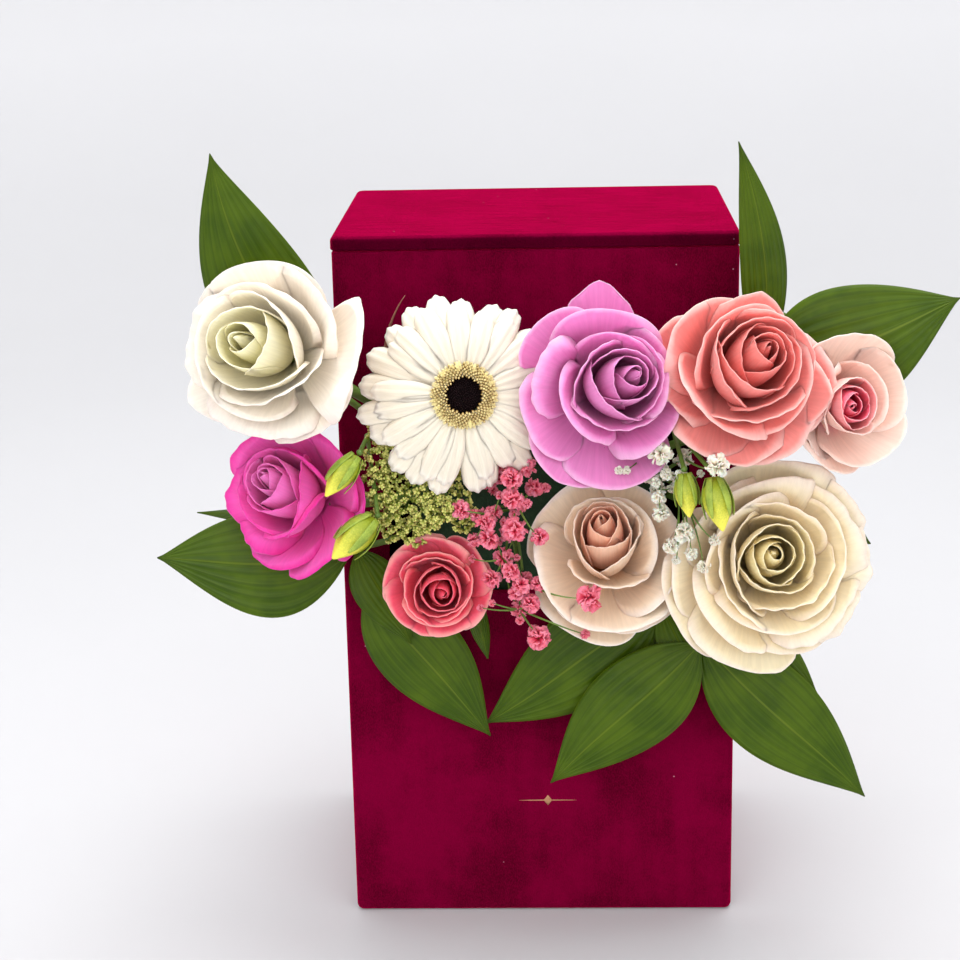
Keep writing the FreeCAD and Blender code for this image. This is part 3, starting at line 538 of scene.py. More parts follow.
def effect(name, inputs):
    """An empty node group with named inputs, colours or numbers, and the outputs Color and Height."""
    tree = bpy.data.node_groups.new(name, "ShaderNodeTree")
    for label, value in inputs.items():
        kind = "NodeSocketFloat" if isinstance(value, float) else "NodeSocketColor"
        plug(tree, tree.interface.new_socket(label, in_out="INPUT", socket_type=kind), value)
    tree.interface.new_socket("Color", in_out="OUTPUT", socket_type="NodeSocketColor")
    tree.interface.new_socket("Height", in_out="OUTPUT", socket_type="NodeSocketFloat")
    return tree, tree.nodes.new("NodeGroupInput").outputs, tree.nodes.new("NodeGroupOutput").inputs


def finish_of(name, **sockets):
    """A material with a Principled shader whose plain values are set on its own sockets."""
    material = bpy.data.materials.new(name)
    material.use_nodes = True
    tree = material.node_tree
    shader = tree.nodes["Principled BSDF"]
    for label, value in sockets.items():
        plug(tree, shader.inputs[label.replace("_", " ")], value)
    return material, tree, shader


def surface(tree, shader, tint, height, depth, strength):
    """Gives a shader its colour, and bump of a given depth from a height."""
    bump = node(tree, "Bump", {"Height": height, "Distance": depth, "Strength": strength})
    plug(tree, shader.inputs["Base Color"], tint)
    plug(tree, shader.inputs["Normal"], bump.outputs["Normal"])


# Shared effects

def petal_tissue():
    """Petal colour: throat to body along the petal, rim colour at its edge, heart colour in the inner layers
    and another on the back, with fine veins that run along it."""
    tree, given, result = effect("petal_tissue", dict.fromkeys((f.title() for f in Tints._fields), "#FFFFFF"))
    along, layer, rim, inside = (mark(tree, n) for n in ("along", "layer", "rim", "inside"))
    vein = noise(tree, surface_uv(tree, across=34.0, along=2.2), detail=4.0, rough=0.6)
    cloud = noise(tree, surface_uv(tree, across=2.6, along=2.6), detail=2.0)
    drift = calc(tree, "MULTIPLY_ADD", calc(tree, "SUBTRACT", cloud, 0.5), 0.35, 0.5)
    grown = ranged(tree, calc(tree, "ADD", along, drift), 0.28, 1.0)
    tint = mixed(tree, grown, given["Throat"], given["Body"])
    hearted = times(tree, ranged(tree, layer, 0.56, 0.16), ranged(tree, along, 1.9, 0.6))
    tint = mixed(tree, hearted, tint, given["Heart"])
    outside = calc(tree, "SUBTRACT", 1.0, inside)
    under = times(tree, outside, ranged(tree, layer, 0.2, 0.9, to_low=0.1, to_high=0.75))
    tint = mixed(tree, under, tint, given["Under"])
    opened = ranged(tree, layer, 0.1, 0.8, to_low=0.12, to_high=0.85)
    edged = times(tree, ranged(tree, rim, 0.15, 1.0), opened)
    tint = mixed(tree, edged, tint, given["Rim"])
    shade = ranged(tree, vein, 0.25, 0.75, to_low=0.91, to_high=1.03)
    grey = node(tree, "CombineColor", {"Red": shade, "Green": shade, "Blue": shade}).outputs["Color"]
    plug(tree, result["Color"], mixed(tree, 1.0, tint, grey, "MULTIPLY"))
    plug(tree, result["Height"], calc(tree, "ADD", vein, cloud))
    return tree


def mottle():
    """Two colours mixed by soft noise at two scales, for paper, foam, stems and the like."""
    tree, given, result = effect("mottle", {"First": "#BCBCBC", "Second": "#BCBCBC", "Scale": 100.0,
                                            "Grain": 1000.0})
    where = space(tree)
    broad = noise(tree, where, given["Scale"])
    fine = noise(tree, where, given["Grain"], detail=2.0)
    share = calc(tree, "ADD", times(tree, broad, 0.65), times(tree, fine, 0.35))
    tint = mixed(tree, ranged(tree, share, 0.32, 0.68), given["First"], given["Second"])
    plug(tree, result["Color"], tint)
    plug(tree, result["Height"], fine)
    return tree


PETAL_TISSUE = petal_tissue()
MOTTLE = mottle()


# Materials

def velvet():
    """Crushed velvet: blotches, creases and upright strokes where the nap lies another way, short pile, lint,
    and painted shade along the lid's front edge."""
    material, tree, shader = finish_of("raspberry_velvet", Roughness=0.9, Sheen_Weight=1.0,
                                       Sheen_Roughness=0.32, Sheen_Tint="#F00C58", Specular_IOR_Level=0.0)
    blotch = noise(tree, space(tree), scale=26.0, detail=5.0, rough=0.62)
    stroke = noise(tree, space(tree, 150.0, 150.0, 14.0), rough=0.6)
    pile = noise(tree, space(tree, z=0.45), scale=2300.0, detail=2.0)
    crush = noise(tree, space(tree, 60.0, 210.0, 100.0), rough=0.6)
    nap = calc(tree, "ADD", times(tree, blotch, 0.78), times(tree, stroke, 0.22))
    tint = mixed(tree, ranged(tree, nap, 0.36, 0.62), "#4A0219", "#6E022A")
    tint = mixed(tree, ranged(tree, pile, 0.30, 0.75, to_high=0.45), tint, "#8A0234")
    cells = node(tree, "TexVoronoi", {"Vector": space(tree), "Scale": 170.0}).outputs
    chosen = node(tree, "SeparateColor", {"Color": cells["Color"]}).outputs["Red"]
    speck = ranged(tree, cells["Distance"], 0.075, 0.03)
    lint = times(tree, speck, calc(tree, "GREATER_THAN", chosen, 0.955))
    tint = mixed(tree, times(tree, lint, 0.55), tint, "#E7B9C6")
    # Painted shade: a dark band mixed into the velvet's colour along the lid's front edge
    height = part_of(tree, space(tree), "Z")
    low, high = LID_EDGE_SHADE_BAND
    edge = times(tree, ranged(tree, height, low, low + 0.0008), ranged(tree, height, high, high - 0.0010))
    tint = mixed(tree, times(tree, edge, 0.7), tint, "#2C0010")
    folds = times(tree, calc(tree, "ADD", blotch, crush), 1.6)
    surface(tree, shader, tint, calc(tree, "ADD", pile, folds), depth=0.0006, strength=0.8)
    return material


def petal_finish(name, tints):
    """Thin satin petal that lets light through."""
    material, tree, shader = finish_of(f"petal_{name}", Roughness=0.55, Specular_IOR_Level=0.15,
                                       Subsurface_Weight=0.7, Subsurface_Scale=0.0015,
                                       Subsurface_Radius=(1.0, 1.0, 1.0), Sheen_Weight=0.08)
    values = {field.title(): code for field, code in tints._asdict().items()}
    tissue = node(tree, "Group", values, node_tree=PETAL_TISSUE).outputs
    surface(tree, shader, tissue["Color"], tissue["Height"], depth=0.0003, strength=0.4)
    return material


def leaf_finish():
    """Glossy leaf with veins that run from the stalk to the tip, paler along the midrib and the edge."""
    material, tree, shader = finish_of("leaf_green", Specular_IOR_Level=0.16)
    across = part_of(tree, surface_uv(tree), "X")
    wave = calc(tree, "SINE", times(tree, across, 56.0))
    streak = noise(tree, surface_uv(tree, across=26.0, along=1.6), detail=4.0)
    cloud = noise(tree, space(tree), scale=55.0)
    from_middle = calc(tree, "ABSOLUTE", calc(tree, "SUBTRACT", across, 0.5))
    tint = mixed(tree, ranged(tree, cloud, 0.3, 0.7), "#324A02", "#455C04")
    tint = mixed(tree, ranged(tree, streak, 0.42, 0.72, to_high=0.45), tint, "#546A12")
    tint = mixed(tree, ranged(tree, wave, 0.55, 1.0, to_high=0.24), tint, "#243804")
    tint = mixed(tree, ranged(tree, from_middle, 0.016, 0.004, to_high=0.45), tint, "#6C7C1E")
    tint = mixed(tree, ranged(tree, from_middle, 0.485, 0.5, to_high=0.4), tint, "#62741A")
    plug(tree, shader.inputs["Roughness"], ranged(tree, cloud, 0.3, 0.7, to_low=0.30, to_high=0.46))
    ridges = calc(tree, "ADD", wave, times(tree, streak, 2.0))
    surface(tree, shader, tint, ridges, depth=0.00016, strength=0.7)
    return material


def mottled_finish(name, first, second, scale, grain, depth, **sockets):
    """A plain material with soft two-tone mottle and fine grain."""
    material, tree, shader = finish_of(name, **sockets)
    values = {"First": first, "Second": second, "Scale": scale, "Grain": grain}
    spots = node(tree, "Group", values, node_tree=MOTTLE).outputs
    surface(tree, shader, spots["Color"], spots["Height"], depth, strength=0.7)
    return material


def tipped_finish(name, base, tip, low, high, **sockets):
    """A small floret or bud, one colour at its foot and another at its tip, with grain."""
    material, tree, shader = finish_of(name, **sockets)
    grain = noise(tree, space(tree), scale=1400.0, detail=2.0)
    play = times(tree, calc(tree, "SUBTRACT", grain, 0.5), 0.5)
    tint = mixed(tree, ranged(tree, calc(tree, "ADD", mark(tree, "along"), play), low, high), base, tip)
    tint = mixed(tree, times(tree, mark(tree, "shade"), 0.55), tint, base)
    surface(tree, shader, tint, grain, depth=0.0002, strength=0.6)
    return material


# Roses

# Turn is in radians, and wrap, the two leans and curl are in degrees.
Petal = namedtuple("Petal", "turn wrap base_r rim_r rim_z lean_base lean_rim curl curl_r dip spiral flat "
                            "ripple layer point drift skew twist")
PETAL_BODY_SHARE = 0.74
PETAL_BODY_ROWS = 13
PETAL_CURL_ROWS = 10
PETAL_COLUMNS = 37
PETAL_T = 0.35
SEPALS = 5
SEPAL_T = 0.4


def bezier(a, b, c, d, t):
    """A cubic curve's value and slope at t."""
    s = 1 - t
    value = s ** 3 * a + 3 * s * s * t * b + 3 * s * t * t * c + t ** 3 * d
    return value, 3 * (s * s * (b - a) + 2 * s * t * (c - b) + t * t * (d - c))


def petal_blade(petal, phases):
    """One petal about the bloom's axis, in millimetres.

    Along v, radius and height follow a cubic curve from the calyx to the rim and then an arc that rolls
    outwards, tighter at the sides than at the tip. Across u, the petal wraps round the axis, dips towards its
    sides, and one side lies further out and twists back, so that neighbours overlap in a spiral. Sine waves
    ripple its edge, and the whole petal drifts sideways with height where the whorl leans.
    """
    wrap, lean_base, lean_rim, curl = (math.radians(a) for a in (petal.wrap, petal.lean_base, petal.lean_rim,
                                                                 petal.curl))
    v = np.concatenate([np.linspace(0, PETAL_BODY_SHARE, PETAL_BODY_ROWS),
                        np.linspace(PETAL_BODY_SHARE, 1, PETAL_CURL_ROWS + 1)[1:]])[:, None]
    u = np.linspace(-1, 1, PETAL_COLUMNS)[None, :]
    side = np.abs(u)
    round_fall = 1 - np.sqrt(1 - 0.95 * side ** 3.0)
    pointed_fall = 0.75 * side ** 1.25
    fall = (1 - petal.point) * round_fall + petal.point * pointed_fall
    share = np.minimum(v / PETAL_BODY_SHARE, 1) * (1 - petal.dip * fall)
    chord = math.hypot(petal.rim_r - petal.base_r, petal.rim_z)
    r, slope_r = bezier(petal.base_r, petal.base_r + 0.42 * chord * math.sin(lean_base),
                        petal.rim_r - 0.36 * chord * math.sin(lean_rim), petal.rim_r, share)
    z, slope_z = bezier(0.0, 0.42 * chord * math.cos(lean_base),
                        petal.rim_z - 0.36 * chord * math.cos(lean_rim), petal.rim_z, share)
    lean = np.arctan2(slope_r, slope_z)
    rolled = np.clip((v - PETAL_BODY_SHARE) / (1 - PETAL_BODY_SHARE), 0, 1)
    roll = 0.55 - 0.3 * petal.point + (0.45 + 0.3 * petal.point) * side ** 1.6
    end = lean + curl * roll * (1 + 0.35 * petal.skew * u) * rolled
    r = r + petal.curl_r * (np.cos(lean) - np.cos(end))
    z = z + petal.curl_r * (np.sin(end) - np.sin(lean))
    swell = np.sin(1.4 * np.pi * u + 1.2 * share + phases[0]) + 0.55 * np.sin(3.1 * np.pi * u + phases[1])
    ruffle = np.sin(8.3 * np.pi * u + phases[2]) + 0.6 * np.sin(5.1 * np.pi * u - 2 * phases[2])
    wave = petal.ripple * (share ** 2 * swell + 0.7 * rolled * ruffle) + petal.twist * u * share
    r = (r + wave * np.cos(end)) * (1 + petal.spiral * u * (0.3 + 0.7 * share))
    z = z - wave * np.sin(end)
    angle = wrap * u
    out = r * ((1 - petal.flat) * np.cos(angle) + petal.flat)
    across = r * ((1 - petal.flat) * np.sin(angle) + petal.flat * angle)
    face = about_axis(out, across, z, petal.turn)
    face[..., :2] += z[..., None] * petal.drift
    rim = np.maximum(rolled, smooth(0.80, 1.0, side) * smooth(0.2, 0.6, share))
    return blade(face, PETAL_T, {"along": share, "rim": rim, "layer": petal.layer})


def whorl_lean(core):
    """Sideways drift of a whorl for each unit of height."""
    lean_to = math.radians(core.lean_to)
    return core.lean * np.array([math.cos(lean_to), math.sin(lean_to)])


def whorl_petals(rose, rng):
    """The scrolled heart of a rose and the cups round it, each petal a golden angle on from the last. The
    heart closes in to an egg, and the cups stand lower and open outwards."""
    radius, height, core, hand = rose.radius, rose.height, rose.core, rose.hand
    for number in range(core.petals + rose.cups):
        jitter = rng.normal(0.0, 1.0, 5)
        heart = number < core.petals
        s = number / (core.petals - 1) if heart else (number - core.petals + 1) / rose.cups
        play = (0.10 if heart else 0.22) * jitter[0]
        shared = dict(turn=math.radians(rose.spin) + hand * number * GOLDEN_TURN + play,
                      skew=rng.uniform(-1, 1),
                      drift=whorl_lean(core) * (1 - 0.35 * s if heart else 0.65 * (1 - 0.7 * s)))
        if heart:
            reach = 0.012 + (core.reach - 0.012) * s ** 1.05
            yield Petal(wrap=128 - 34 * s, base_r=radius * (0.03 + 0.07 * s),
                        rim_r=radius * reach * (1 + 0.04 * jitter[1]),
                        rim_z=height * (1.0 - 0.12 * s * s) * (1 + 0.014 * jitter[2]),
                        lean_base=14 + 24 * s, lean_rim=-19 + 20 * s + 3 * jitter[3],
                        curl=28 + 48 * s, curl_r=radius * (0.014 + 0.022 * s), dip=0.42 + 0.16 * s,
                        spiral=hand * (0.15 - 0.06 * s), ripple=radius * 0.012 * s, flat=0.26 * s,
                        point=0.3 * s, twist=0.0, layer=0.45 * s, **shared)
        else:
            reach = core.reach + 0.04 + (0.66 - core.reach) * s
            yield Petal(wrap=100 - 18 * s, base_r=radius * (0.10 + 0.03 * s),
                        rim_r=radius * reach * (1 + 0.03 * jitter[1]),
                        rim_z=height * (0.87 - 0.17 * s) * (1 + 0.02 * jitter[2]),
                        lean_base=36 + 10 * s, lean_rim=-6 + 34 * s + 3 * jitter[3],
                        curl=(80 + 30 * s) * (1 + 0.12 * jitter[4]), curl_r=radius * (0.045 + 0.030 * s),
                        dip=0.80, spiral=hand * 0.08, ripple=radius * 0.018, flat=0.28, point=0.25,
                        twist=hand * radius * 0.05, layer=0.5 + 0.2 * s, **shared)


def guard_petal(guard, rose, rng):
    """One outer petal as listed, with a little play."""
    radius = rose.radius
    curl_r = radius * rng.uniform(0.10, 0.13)
    lean, curl = guard.lean - 18, 1.5 * guard.curl
    rolled_out = curl_r * (math.cos(math.radians(lean)) - math.cos(math.radians(lean + 0.55 * curl)))
    return Petal(turn=math.radians(guard.turn), wrap=1.22 * guard.wrap, base_r=radius * 0.14,
                 rim_r=guard.reach - rolled_out, rim_z=rose.height * guard.rise,
                 lean_base=min(guard.lean + 20, 84), lean_rim=lean, curl=curl, curl_r=curl_r, dip=1.0,
                 spiral=rose.hand * 0.05, flat=0.30, ripple=radius * 0.021, layer=1.0, point=guard.point,
                 drift=(0.0, 0.0), skew=rng.uniform(-1, 1), twist=rose.hand * radius * 0.10)


def folded(r, z, folds, depth, twist, sides):
    """A lathe form whose radius rises and falls as a cosine round it, in folds that twist with height. Depth
    is one for all or one for each ring."""
    fold = 1 + depth * np.cos(folds * ring_angles(sides)[None] + twist)
    return turned(np.stack([r, z], axis=1), sides, fold)


def heart_bud(rose):
    """The closed bud in the middle of a whorl: a lathe form pinched to a blunt tip by three twisted folds. It
    leans as the whorl does, and is in millimetres."""
    z = np.array([0.3, 0.31, 0.5, 0.65, 0.75, 0.82, 0.87, 0.90, 0.91])
    r = np.array([0.0, 0.07, 0.09, 0.09, 0.08, 0.065, 0.045, 0.02, 0.0])
    form = folded(r * rose.radius, z * rose.height, folds=3, depth=0.16, twist=6.0 * z[1:-1, None],
                  sides=24)
    form.points[:, :2] += form.points[:, 2:] * whorl_lean(rose.core)
    return with_zeros(form, "rim", "layer", "inside")


def on_calyx(rose, shapes):
    """Shapes about a rose's axis, in millimetres, as one shape at its place."""
    base = at(rose.centre) - heading(rose.facing) * (0.5 * rose.height * MM)
    return carried(joined(shapes), bloom_frame(rose.facing), base)


def rose_shape(rose, rng):
    """Whorl, cups and guards of one rose as one shape at its place."""
    petals = [*whorl_petals(rose, rng), *[guard_petal(Guard(*g), rose, rng) for g in rose.guards]]
    blades = [petal_blade(p, rng.uniform(0, FULL_TURN, 3)) for p in petals]
    return on_calyx(rose, [*blades, heart_bud(rose)])


def sepals(rose, rng):
    """Five narrow pointed blades that bend back from the calyx. Along v each runs out as a sine, dips by half
    a sine wave and rises with the square of v, and its half width falls off with (1 - v) to the power 0.7."""
    v, u = patch(rows=12, columns=5)
    half = 0.05 + 0.10 * rose.radius * (1 - v) ** 0.7 * (0.6 + 0.8 * np.sin(np.pi * v))
    shapes = []
    for number in range(SEPALS):
        length = rose.radius * rng.uniform(0.75, 0.95)
        out = 0.27 * rose.radius + 0.75 * length * np.sin(1.3 * v)
        height = 1.0 - 4.0 * np.sin(np.pi * v) + 0.30 * length * v ** 2 - 0.8 * np.abs(u)
        turn = number * FULL_TURN / SEPALS + math.radians(rose.spin) + rng.normal(0, 0.12)
        shapes.append(blade(about_axis(out, half * u, height, turn), SEPAL_T, {"along": v}))
    return on_calyx(rose, shapes)


# Gerbera

def ray(length, width, lift, droop, turn, rise, layer):
    """One ray floret, in millimetres. It widens from its root as a quarter of a sine wave to a round tip,
    arches up as a sine and falls with the square of v, and a cosine across it makes two channels along it."""
    v, u = patch(rows=16, columns=13, edge=-1)
    out = GERBERA_EYE_R + 0.3 + length * v * (1 - 0.13 * np.abs(u) ** 2.3)
    out = out - 0.012 * length * (1 - np.cos(3 * np.pi * u)) * v ** 10
    widening = 0.30 + 0.70 * np.sin(0.5 * np.pi * np.minimum(v / 0.66, 1))
    across = 0.5 * width * u * widening * (1 - 0.12 * v ** 6)
    up = rise + lift * np.sin(0.85 * np.pi * v) - droop * v ** 2
    up = up + 0.028 * width * np.cos(3 * np.pi * u) * smooth(0.0, 0.3, v) - 0.06 * width * u * u
    rim = np.maximum(v ** 8, smooth(0.86, 1.0, np.abs(u)))
    return blade(about_axis(out, across, up, turn), RAY_T, {"along": v, "rim": rim, "layer": layer})


def gerbera_rays(rng):
    """Two rings of rays with a little play in every angle and length, and a fringe of slim ones round the
    eye."""
    reach = GERBERA_R - GERBERA_EYE_R
    shapes = []
    for ring in RAY_RINGS:
        for number in range(ring.count):
            play = rng.normal(0, 1, 4)
            turn = (number + 0.17 * play[3]) * FULL_TURN / ring.count + ring.rise
            shapes.append(ray(reach * ring.share * (1 + 0.04 * play[0]), ring.width * (1 + 0.05 * play[1]),
                              ring.lift + 0.35 * play[2], ring.droop, turn, ring.rise, ring.layer))
    return joined(shapes)


def blob(sides, stretch):
    """A small closed bud of a few dozen faces: half a sine wave, fuller at its foot, turned about an axis."""
    steps = np.linspace(0, np.pi, 6)
    profile = np.stack([np.sin(steps) * (1.0 + 0.25 * np.cos(steps)), -np.cos(steps) * stretch], axis=1)
    return turned(profile, sides)


def disc_florets(count, inner, outer, low, high, size, lean, rng):
    """Florets on a golden spiral between two radii, in millimetres. Their height falls with the square of the
    way out, as on a dome, and they lean outwards."""
    share = (np.arange(count) + 0.5) / count
    r = np.sqrt(inner ** 2 + (outer ** 2 - inner ** 2) * share)
    turn = np.arange(count) * GOLDEN_TURN
    z = low + (high - low) * (1 - ((r - inner) / (outer - inner)) ** 2)
    places = xyz(r * np.cos(turn), r * np.sin(turn), z)
    tilt = lean * r / outer
    towards = xyz(np.cos(turn) * np.sin(tilt), np.sin(turn) * np.sin(tilt), np.cos(tilt))
    scales = size * rng.uniform(0.8, 1.2, count)
    floret = blob(sides=6, stretch=1.8)
    return scattered(floret, frames_along(towards, turn), places, scales, rng.uniform(0, 1, count))


def on_gerbera(shape):
    """A shape in the gerbera's own millimetres carried to its place."""
    return carried(shape, bloom_frame(GERBERA_FACING), at(GERBERA_CENTRE))


# Leaves, fillers and buds

def leaf_blade(leaf, rng):
    """A pointed ovate leaf. Its half width follows v to the power 0.8 times (1 - v) to the power 1.2. Its
    midrib arches and bows to one side as half a sine wave, its halves fall away from the midrib, and slow
    waves run along its edges."""
    start, tip, facing = at(SPRIG_TOPS[leaf.sprig]), at(leaf.tip), heading(leaf.facing)
    base = start + unit(unit(tip - start) + facing * leaf.lift) * (LEAF_SEAT * MM)
    along = unit(tip - base)
    across = unit(np.cross(facing, along))
    normal = np.cross(along, across)
    v, u = patch(rows=34, columns=21)
    wide = 3.85 * np.maximum(v, 0.004) ** 0.8 * np.maximum(1 - v, 0.004) ** 1.2
    half = 0.5 * leaf.width * wide
    phase = rng.uniform(0, FULL_TURN, 2)
    rise = leaf.arch * np.sin(np.pi * v) - LEAF_CROWN * wide * (0.35 * np.abs(u) + 0.65 * u * u)
    rise = rise + 0.028 * leaf.width * wide * np.sin(2.6 * np.pi * v + phase[0] + np.sign(u) * 0.8) * u * u
    bend = 0.035 * leaf.width * np.sin(np.pi * v + phase[1])
    aside = half * u + (bend + leaf.bow) * np.sin(np.pi * v)
    midrib = base + (tip - base) * v[:, :, None]
    face = midrib + across * (aside * MM)[:, :, None] + normal * (rise * MM)[:, :, None]
    return blade(face, LEAF_T * MM, {"along": v})


def puff_petal():
    """A tiny petal of a gypsophila flower, about one unit long. It widens evenly, rises with the square of v,
    and a cosine across it ruffles its end."""
    v, u = patch(rows=4, columns=5, edge=-1)
    out = 0.25 + 0.75 * v * (1 - 0.16 * u * u)
    across = 0.34 * u * (0.35 + 0.65 * v)
    up = 0.24 * v * v + 0.11 * np.cos(2.5 * np.pi * u) * v
    return blade(xyz(across, up, out), PUFF_T, {"along": v})


def sphere_directions(count, times_over):
    """Directions spread evenly over a sphere along a golden spiral, repeated."""
    z = 1 - 2 * (np.arange(count) + 0.5) / count
    turn = np.arange(count) * GOLDEN_TURN
    r = np.sqrt(1 - z * z)
    return np.tile(xyz(r * np.cos(turn), r * np.sin(turn), z), (times_over, 1))


def puffs(centres, radii, count, rng):
    """Balls of ruffled petals, each petal pointing away from its ball's centre."""
    total = len(centres) * count
    towards = sphere_directions(count, len(centres)) + rng.normal(0, 0.16, (total, 3))
    places = np.repeat(centres, count, axis=0)
    scales = np.repeat(radii, count) * rng.uniform(0.8, 1.15, total)
    frames = frames_along(towards, rng.uniform(0, FULL_TURN, total))
    return scattered(puff_petal(), frames, places, scales, rng.uniform(0, 1, total))


def filler_heads(centres, rng):
    """Rounded heads of florets on a golden spiral, each floret a knot of eight small buds, in metres."""
    florets, buds = 26, 8
    knots = len(centres) * florets
    outward = sphere_directions(florets, len(centres))
    reach = 5.4 * MM * rng.uniform(0.75, 1.25, (knots, 1))
    middles = np.repeat(centres, florets, axis=0) + outward * reach
    spread = sphere_directions(buds, knots) + rng.normal(0, 0.25, (knots * buds, 3))
    towards = unit(np.repeat(outward, buds, axis=0) * 0.7 + spread)
    places = np.repeat(middles, buds, axis=0) + towards * (0.95 * MM)
    scales = MM * 0.68 * rng.uniform(0.7, 1.25, len(places))
    frames = frames_along(towards, rng.uniform(0, 6, len(places)))
    bud = blob(sides=5, stretch=1.35)
    return scattered(bud, frames, places, scales, rng.uniform(0, 1, len(places)) ** 2)


def twig_paths(starts, ends, rng, steps):
    """Quadratic curves from each start to its end, which bow up and towards the viewer."""
    span = np.linalg.norm(ends - starts, axis=1, keepdims=True)
    bow = np.array([0.0, -0.36, 0.05]) * span
    middles = 0.5 * (starts + ends) + rng.normal(0, 0.10, ends.shape) * span + bow
    return arcs(starts, middles, ends, steps)


def spray(name, source, foot, tip, rng):
    """A gypsophila spray: puffs at its heads, others nearer the viewer, and small ones scattered between, on
    thin curved twigs."""
    extra, radius = source.extra, source.radius
    main = np.array([at(h) for h in source.heads])
    near = np.array([at(h[:3]) for h in source.near])
    chosen = main[rng.integers(0, len(main), extra)]
    more = chosen + rng.normal(0, 1, (extra, 3)) * np.array([4.5, 2.5, 4.5]) * MM
    centres = np.concatenate([main, near, more])
    radii = MM * np.concatenate([radius * rng.uniform(0.8, 1.1, len(main)), [h[3] for h in source.near],
                                 radius * rng.uniform(0.3, 0.6, extra)])
    finish = tipped_finish(f"{name}_petals", foot, tip, low=0.25, high=0.8, Roughness=0.65,
                           Subsurface_Weight=0.3, Subsurface_Scale=0.002)
    piece(f"{name}_puffs", puffs(centres, radii, PUFF_PETALS, rng), finish, stands_for=(name,))
    nearest = np.linalg.norm(near[:, None] - main[None], axis=2).argmin(axis=1)
    starts = np.concatenate([np.repeat(at(source.hub)[None], len(main), axis=0), main[nearest], chosen])
    thins = np.linspace(0.5, 0.2, TWIG_STEPS) * MM * np.ones((len(centres), 1))
    stalks = tubes(twig_paths(starts, centres, rng, TWIG_STEPS), thins, sides=6)
    piece(f"{name}_twigs", stalks, STEM)


def bud_shape(bud):
    """A closed bud: a lathe form drawn to a point, with five twisted folds, in millimetres."""
    z = np.array([0.0, 0.02, 0.08, 0.18, 0.30, 0.42, 0.54, 0.66, 0.78, 0.88, 0.95, 0.985, 1.0])
    r = np.array([0.0, 0.22, 0.52, 0.82, 0.97, 1.0, 0.94, 0.80, 0.58, 0.36, 0.20, 0.10, 0.0])
    level = z[1:-1, None]
    return folded(r * bud.radius, z * bud.length, folds=5, depth=0.085 * np.sin(np.pi * level),
                  twist=3.4 * level, sides=30)


def bud_sepals(bud):
    """Five slim sepals that clasp a bud's lower half, in millimetres. Their distance from its axis follows a
    sine of v, with the cube of v added, so that the tips stand off, and their half width a sine."""
    v, u = patch(rows=12, columns=5)
    hug = bud.radius * (0.30 + 0.82 * np.sin(np.pi * np.minimum(0.12 + 0.62 * v, 1.0))) + 0.9 * v ** 3
    half = 0.30 * bud.radius * np.sin(np.pi * (0.22 + 0.75 * v)) ** 0.8 + 0.08
    shapes = []
    for number in range(SEPALS):
        angle = number * FULL_TURN / SEPALS + half * u / np.maximum(hug, 0.5)
        face = xyz(hug * np.cos(angle), hug * np.sin(angle), 0.74 * bud.length * v)
        shapes.append(blade(face, BUD_SEPAL_T, {"along": v}))
    return joined(shapes)


def on_neck(bud, shape):
    """A shape in a bud's own millimetres carried to its neck, along the way it hangs."""
    return carried(shape, frames_along(heading(bud.hang)[None], np.zeros(1))[0], at(bud.neck))


# Box fittings

def hinge_strip():
    """The cloth strip over the back. Its outer face stands a cloth's thickness off the wall, with a rounded
    fold of circular section on the hinge line, and its inner face lies a glue line off the wall."""
    low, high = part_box("hinge_cloth")
    fold, wall = HINGE[2], BODY_HIGH.y
    cloth, glue, fold_r = 0.0008, 0.00004, 0.001
    z = np.concatenate([np.linspace(low.z, fold - 0.0024, 14), np.linspace(fold - 0.0022, fold + 0.0022, 23),
                        np.linspace(fold + 0.0026, high.z, 6)])[:, None]
    x = np.linspace(low.x, high.x, 40)[None, ::-1]
    bulge = np.sqrt(np.maximum(0.0, fold_r ** 2 - (z - fold) ** 2))
    strip = blade(xyz(x, wall + np.maximum(cloth, 0.5 * cloth + bulge), z), cloth, {"along": 0.0})
    strip.points[len(strip.points) // 2:] = xyz(x, wall + glue, z).reshape(-1, 3)
    return strip


def pad_shape():
    """The lid's covered pad: rings that are a cosine and a sine raised to a small power, which is a rounded
    rectangle, drawn in to a soft crowned face below and a flat back above."""
    low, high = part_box("lid_pad")
    turn = ring_angles(120)
    corner = 0.10
    x, y = np.cos(turn), np.sin(turn)
    x = high.x * np.sign(x) * np.abs(x) ** corner
    y = high.y * np.sign(y) * np.abs(y) ** corner
    inset = np.array([0.25, 0.5, 0.75, 0.9, 0.96, 0.985, 0.995, 1.0, 1.0, 0.995, 0.9, 0.5])[:, None]
    crown = np.array([0.0, 0.0, 0.02, 0.08, 0.2, 0.4, 0.6, 0.78, 0.95, 1.0, 1.0, 1.0])[:, None]
    return ringed(xyz(x * inset, y * inset, low.z + (high.z - low.z) * crown), low.z, high.z)


def foil_line():
    """A hairline of foil on the front. Its half height falls with the cube of the way out to a hair at both
    ends, and rises evenly to a small lozenge in the middle."""
    half_length, lozenge_w, lozenge_h = 13.0, 1.7, 2.3
    x = np.concatenate([np.linspace(-half_length, -lozenge_w, 18),
                        np.linspace(-lozenge_w, lozenge_w, 13)[1:-1],
                        np.linspace(lozenge_w, half_length, 18)])[:, None]
    u = np.linspace(1, -1, 5)[None, :]
    half = 0.03 + 0.20 * (1 - np.abs(x / half_length) ** 3)
    half = half + lozenge_h * np.maximum(0, 1 - np.abs(x) / lozenge_w)
    face = xyz(FOIL_AT[0] + x * MM, FRONT_Y - FOIL_PROUD, FOIL_AT[1] + half * u * MM)
    return blade(face, FOIL_T, {"along": 0.0})


def dress(material, *names):
    """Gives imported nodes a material."""
    for name in names:
        for place in frame["nodes"][name].material_slots:
            place.material = material


# Box

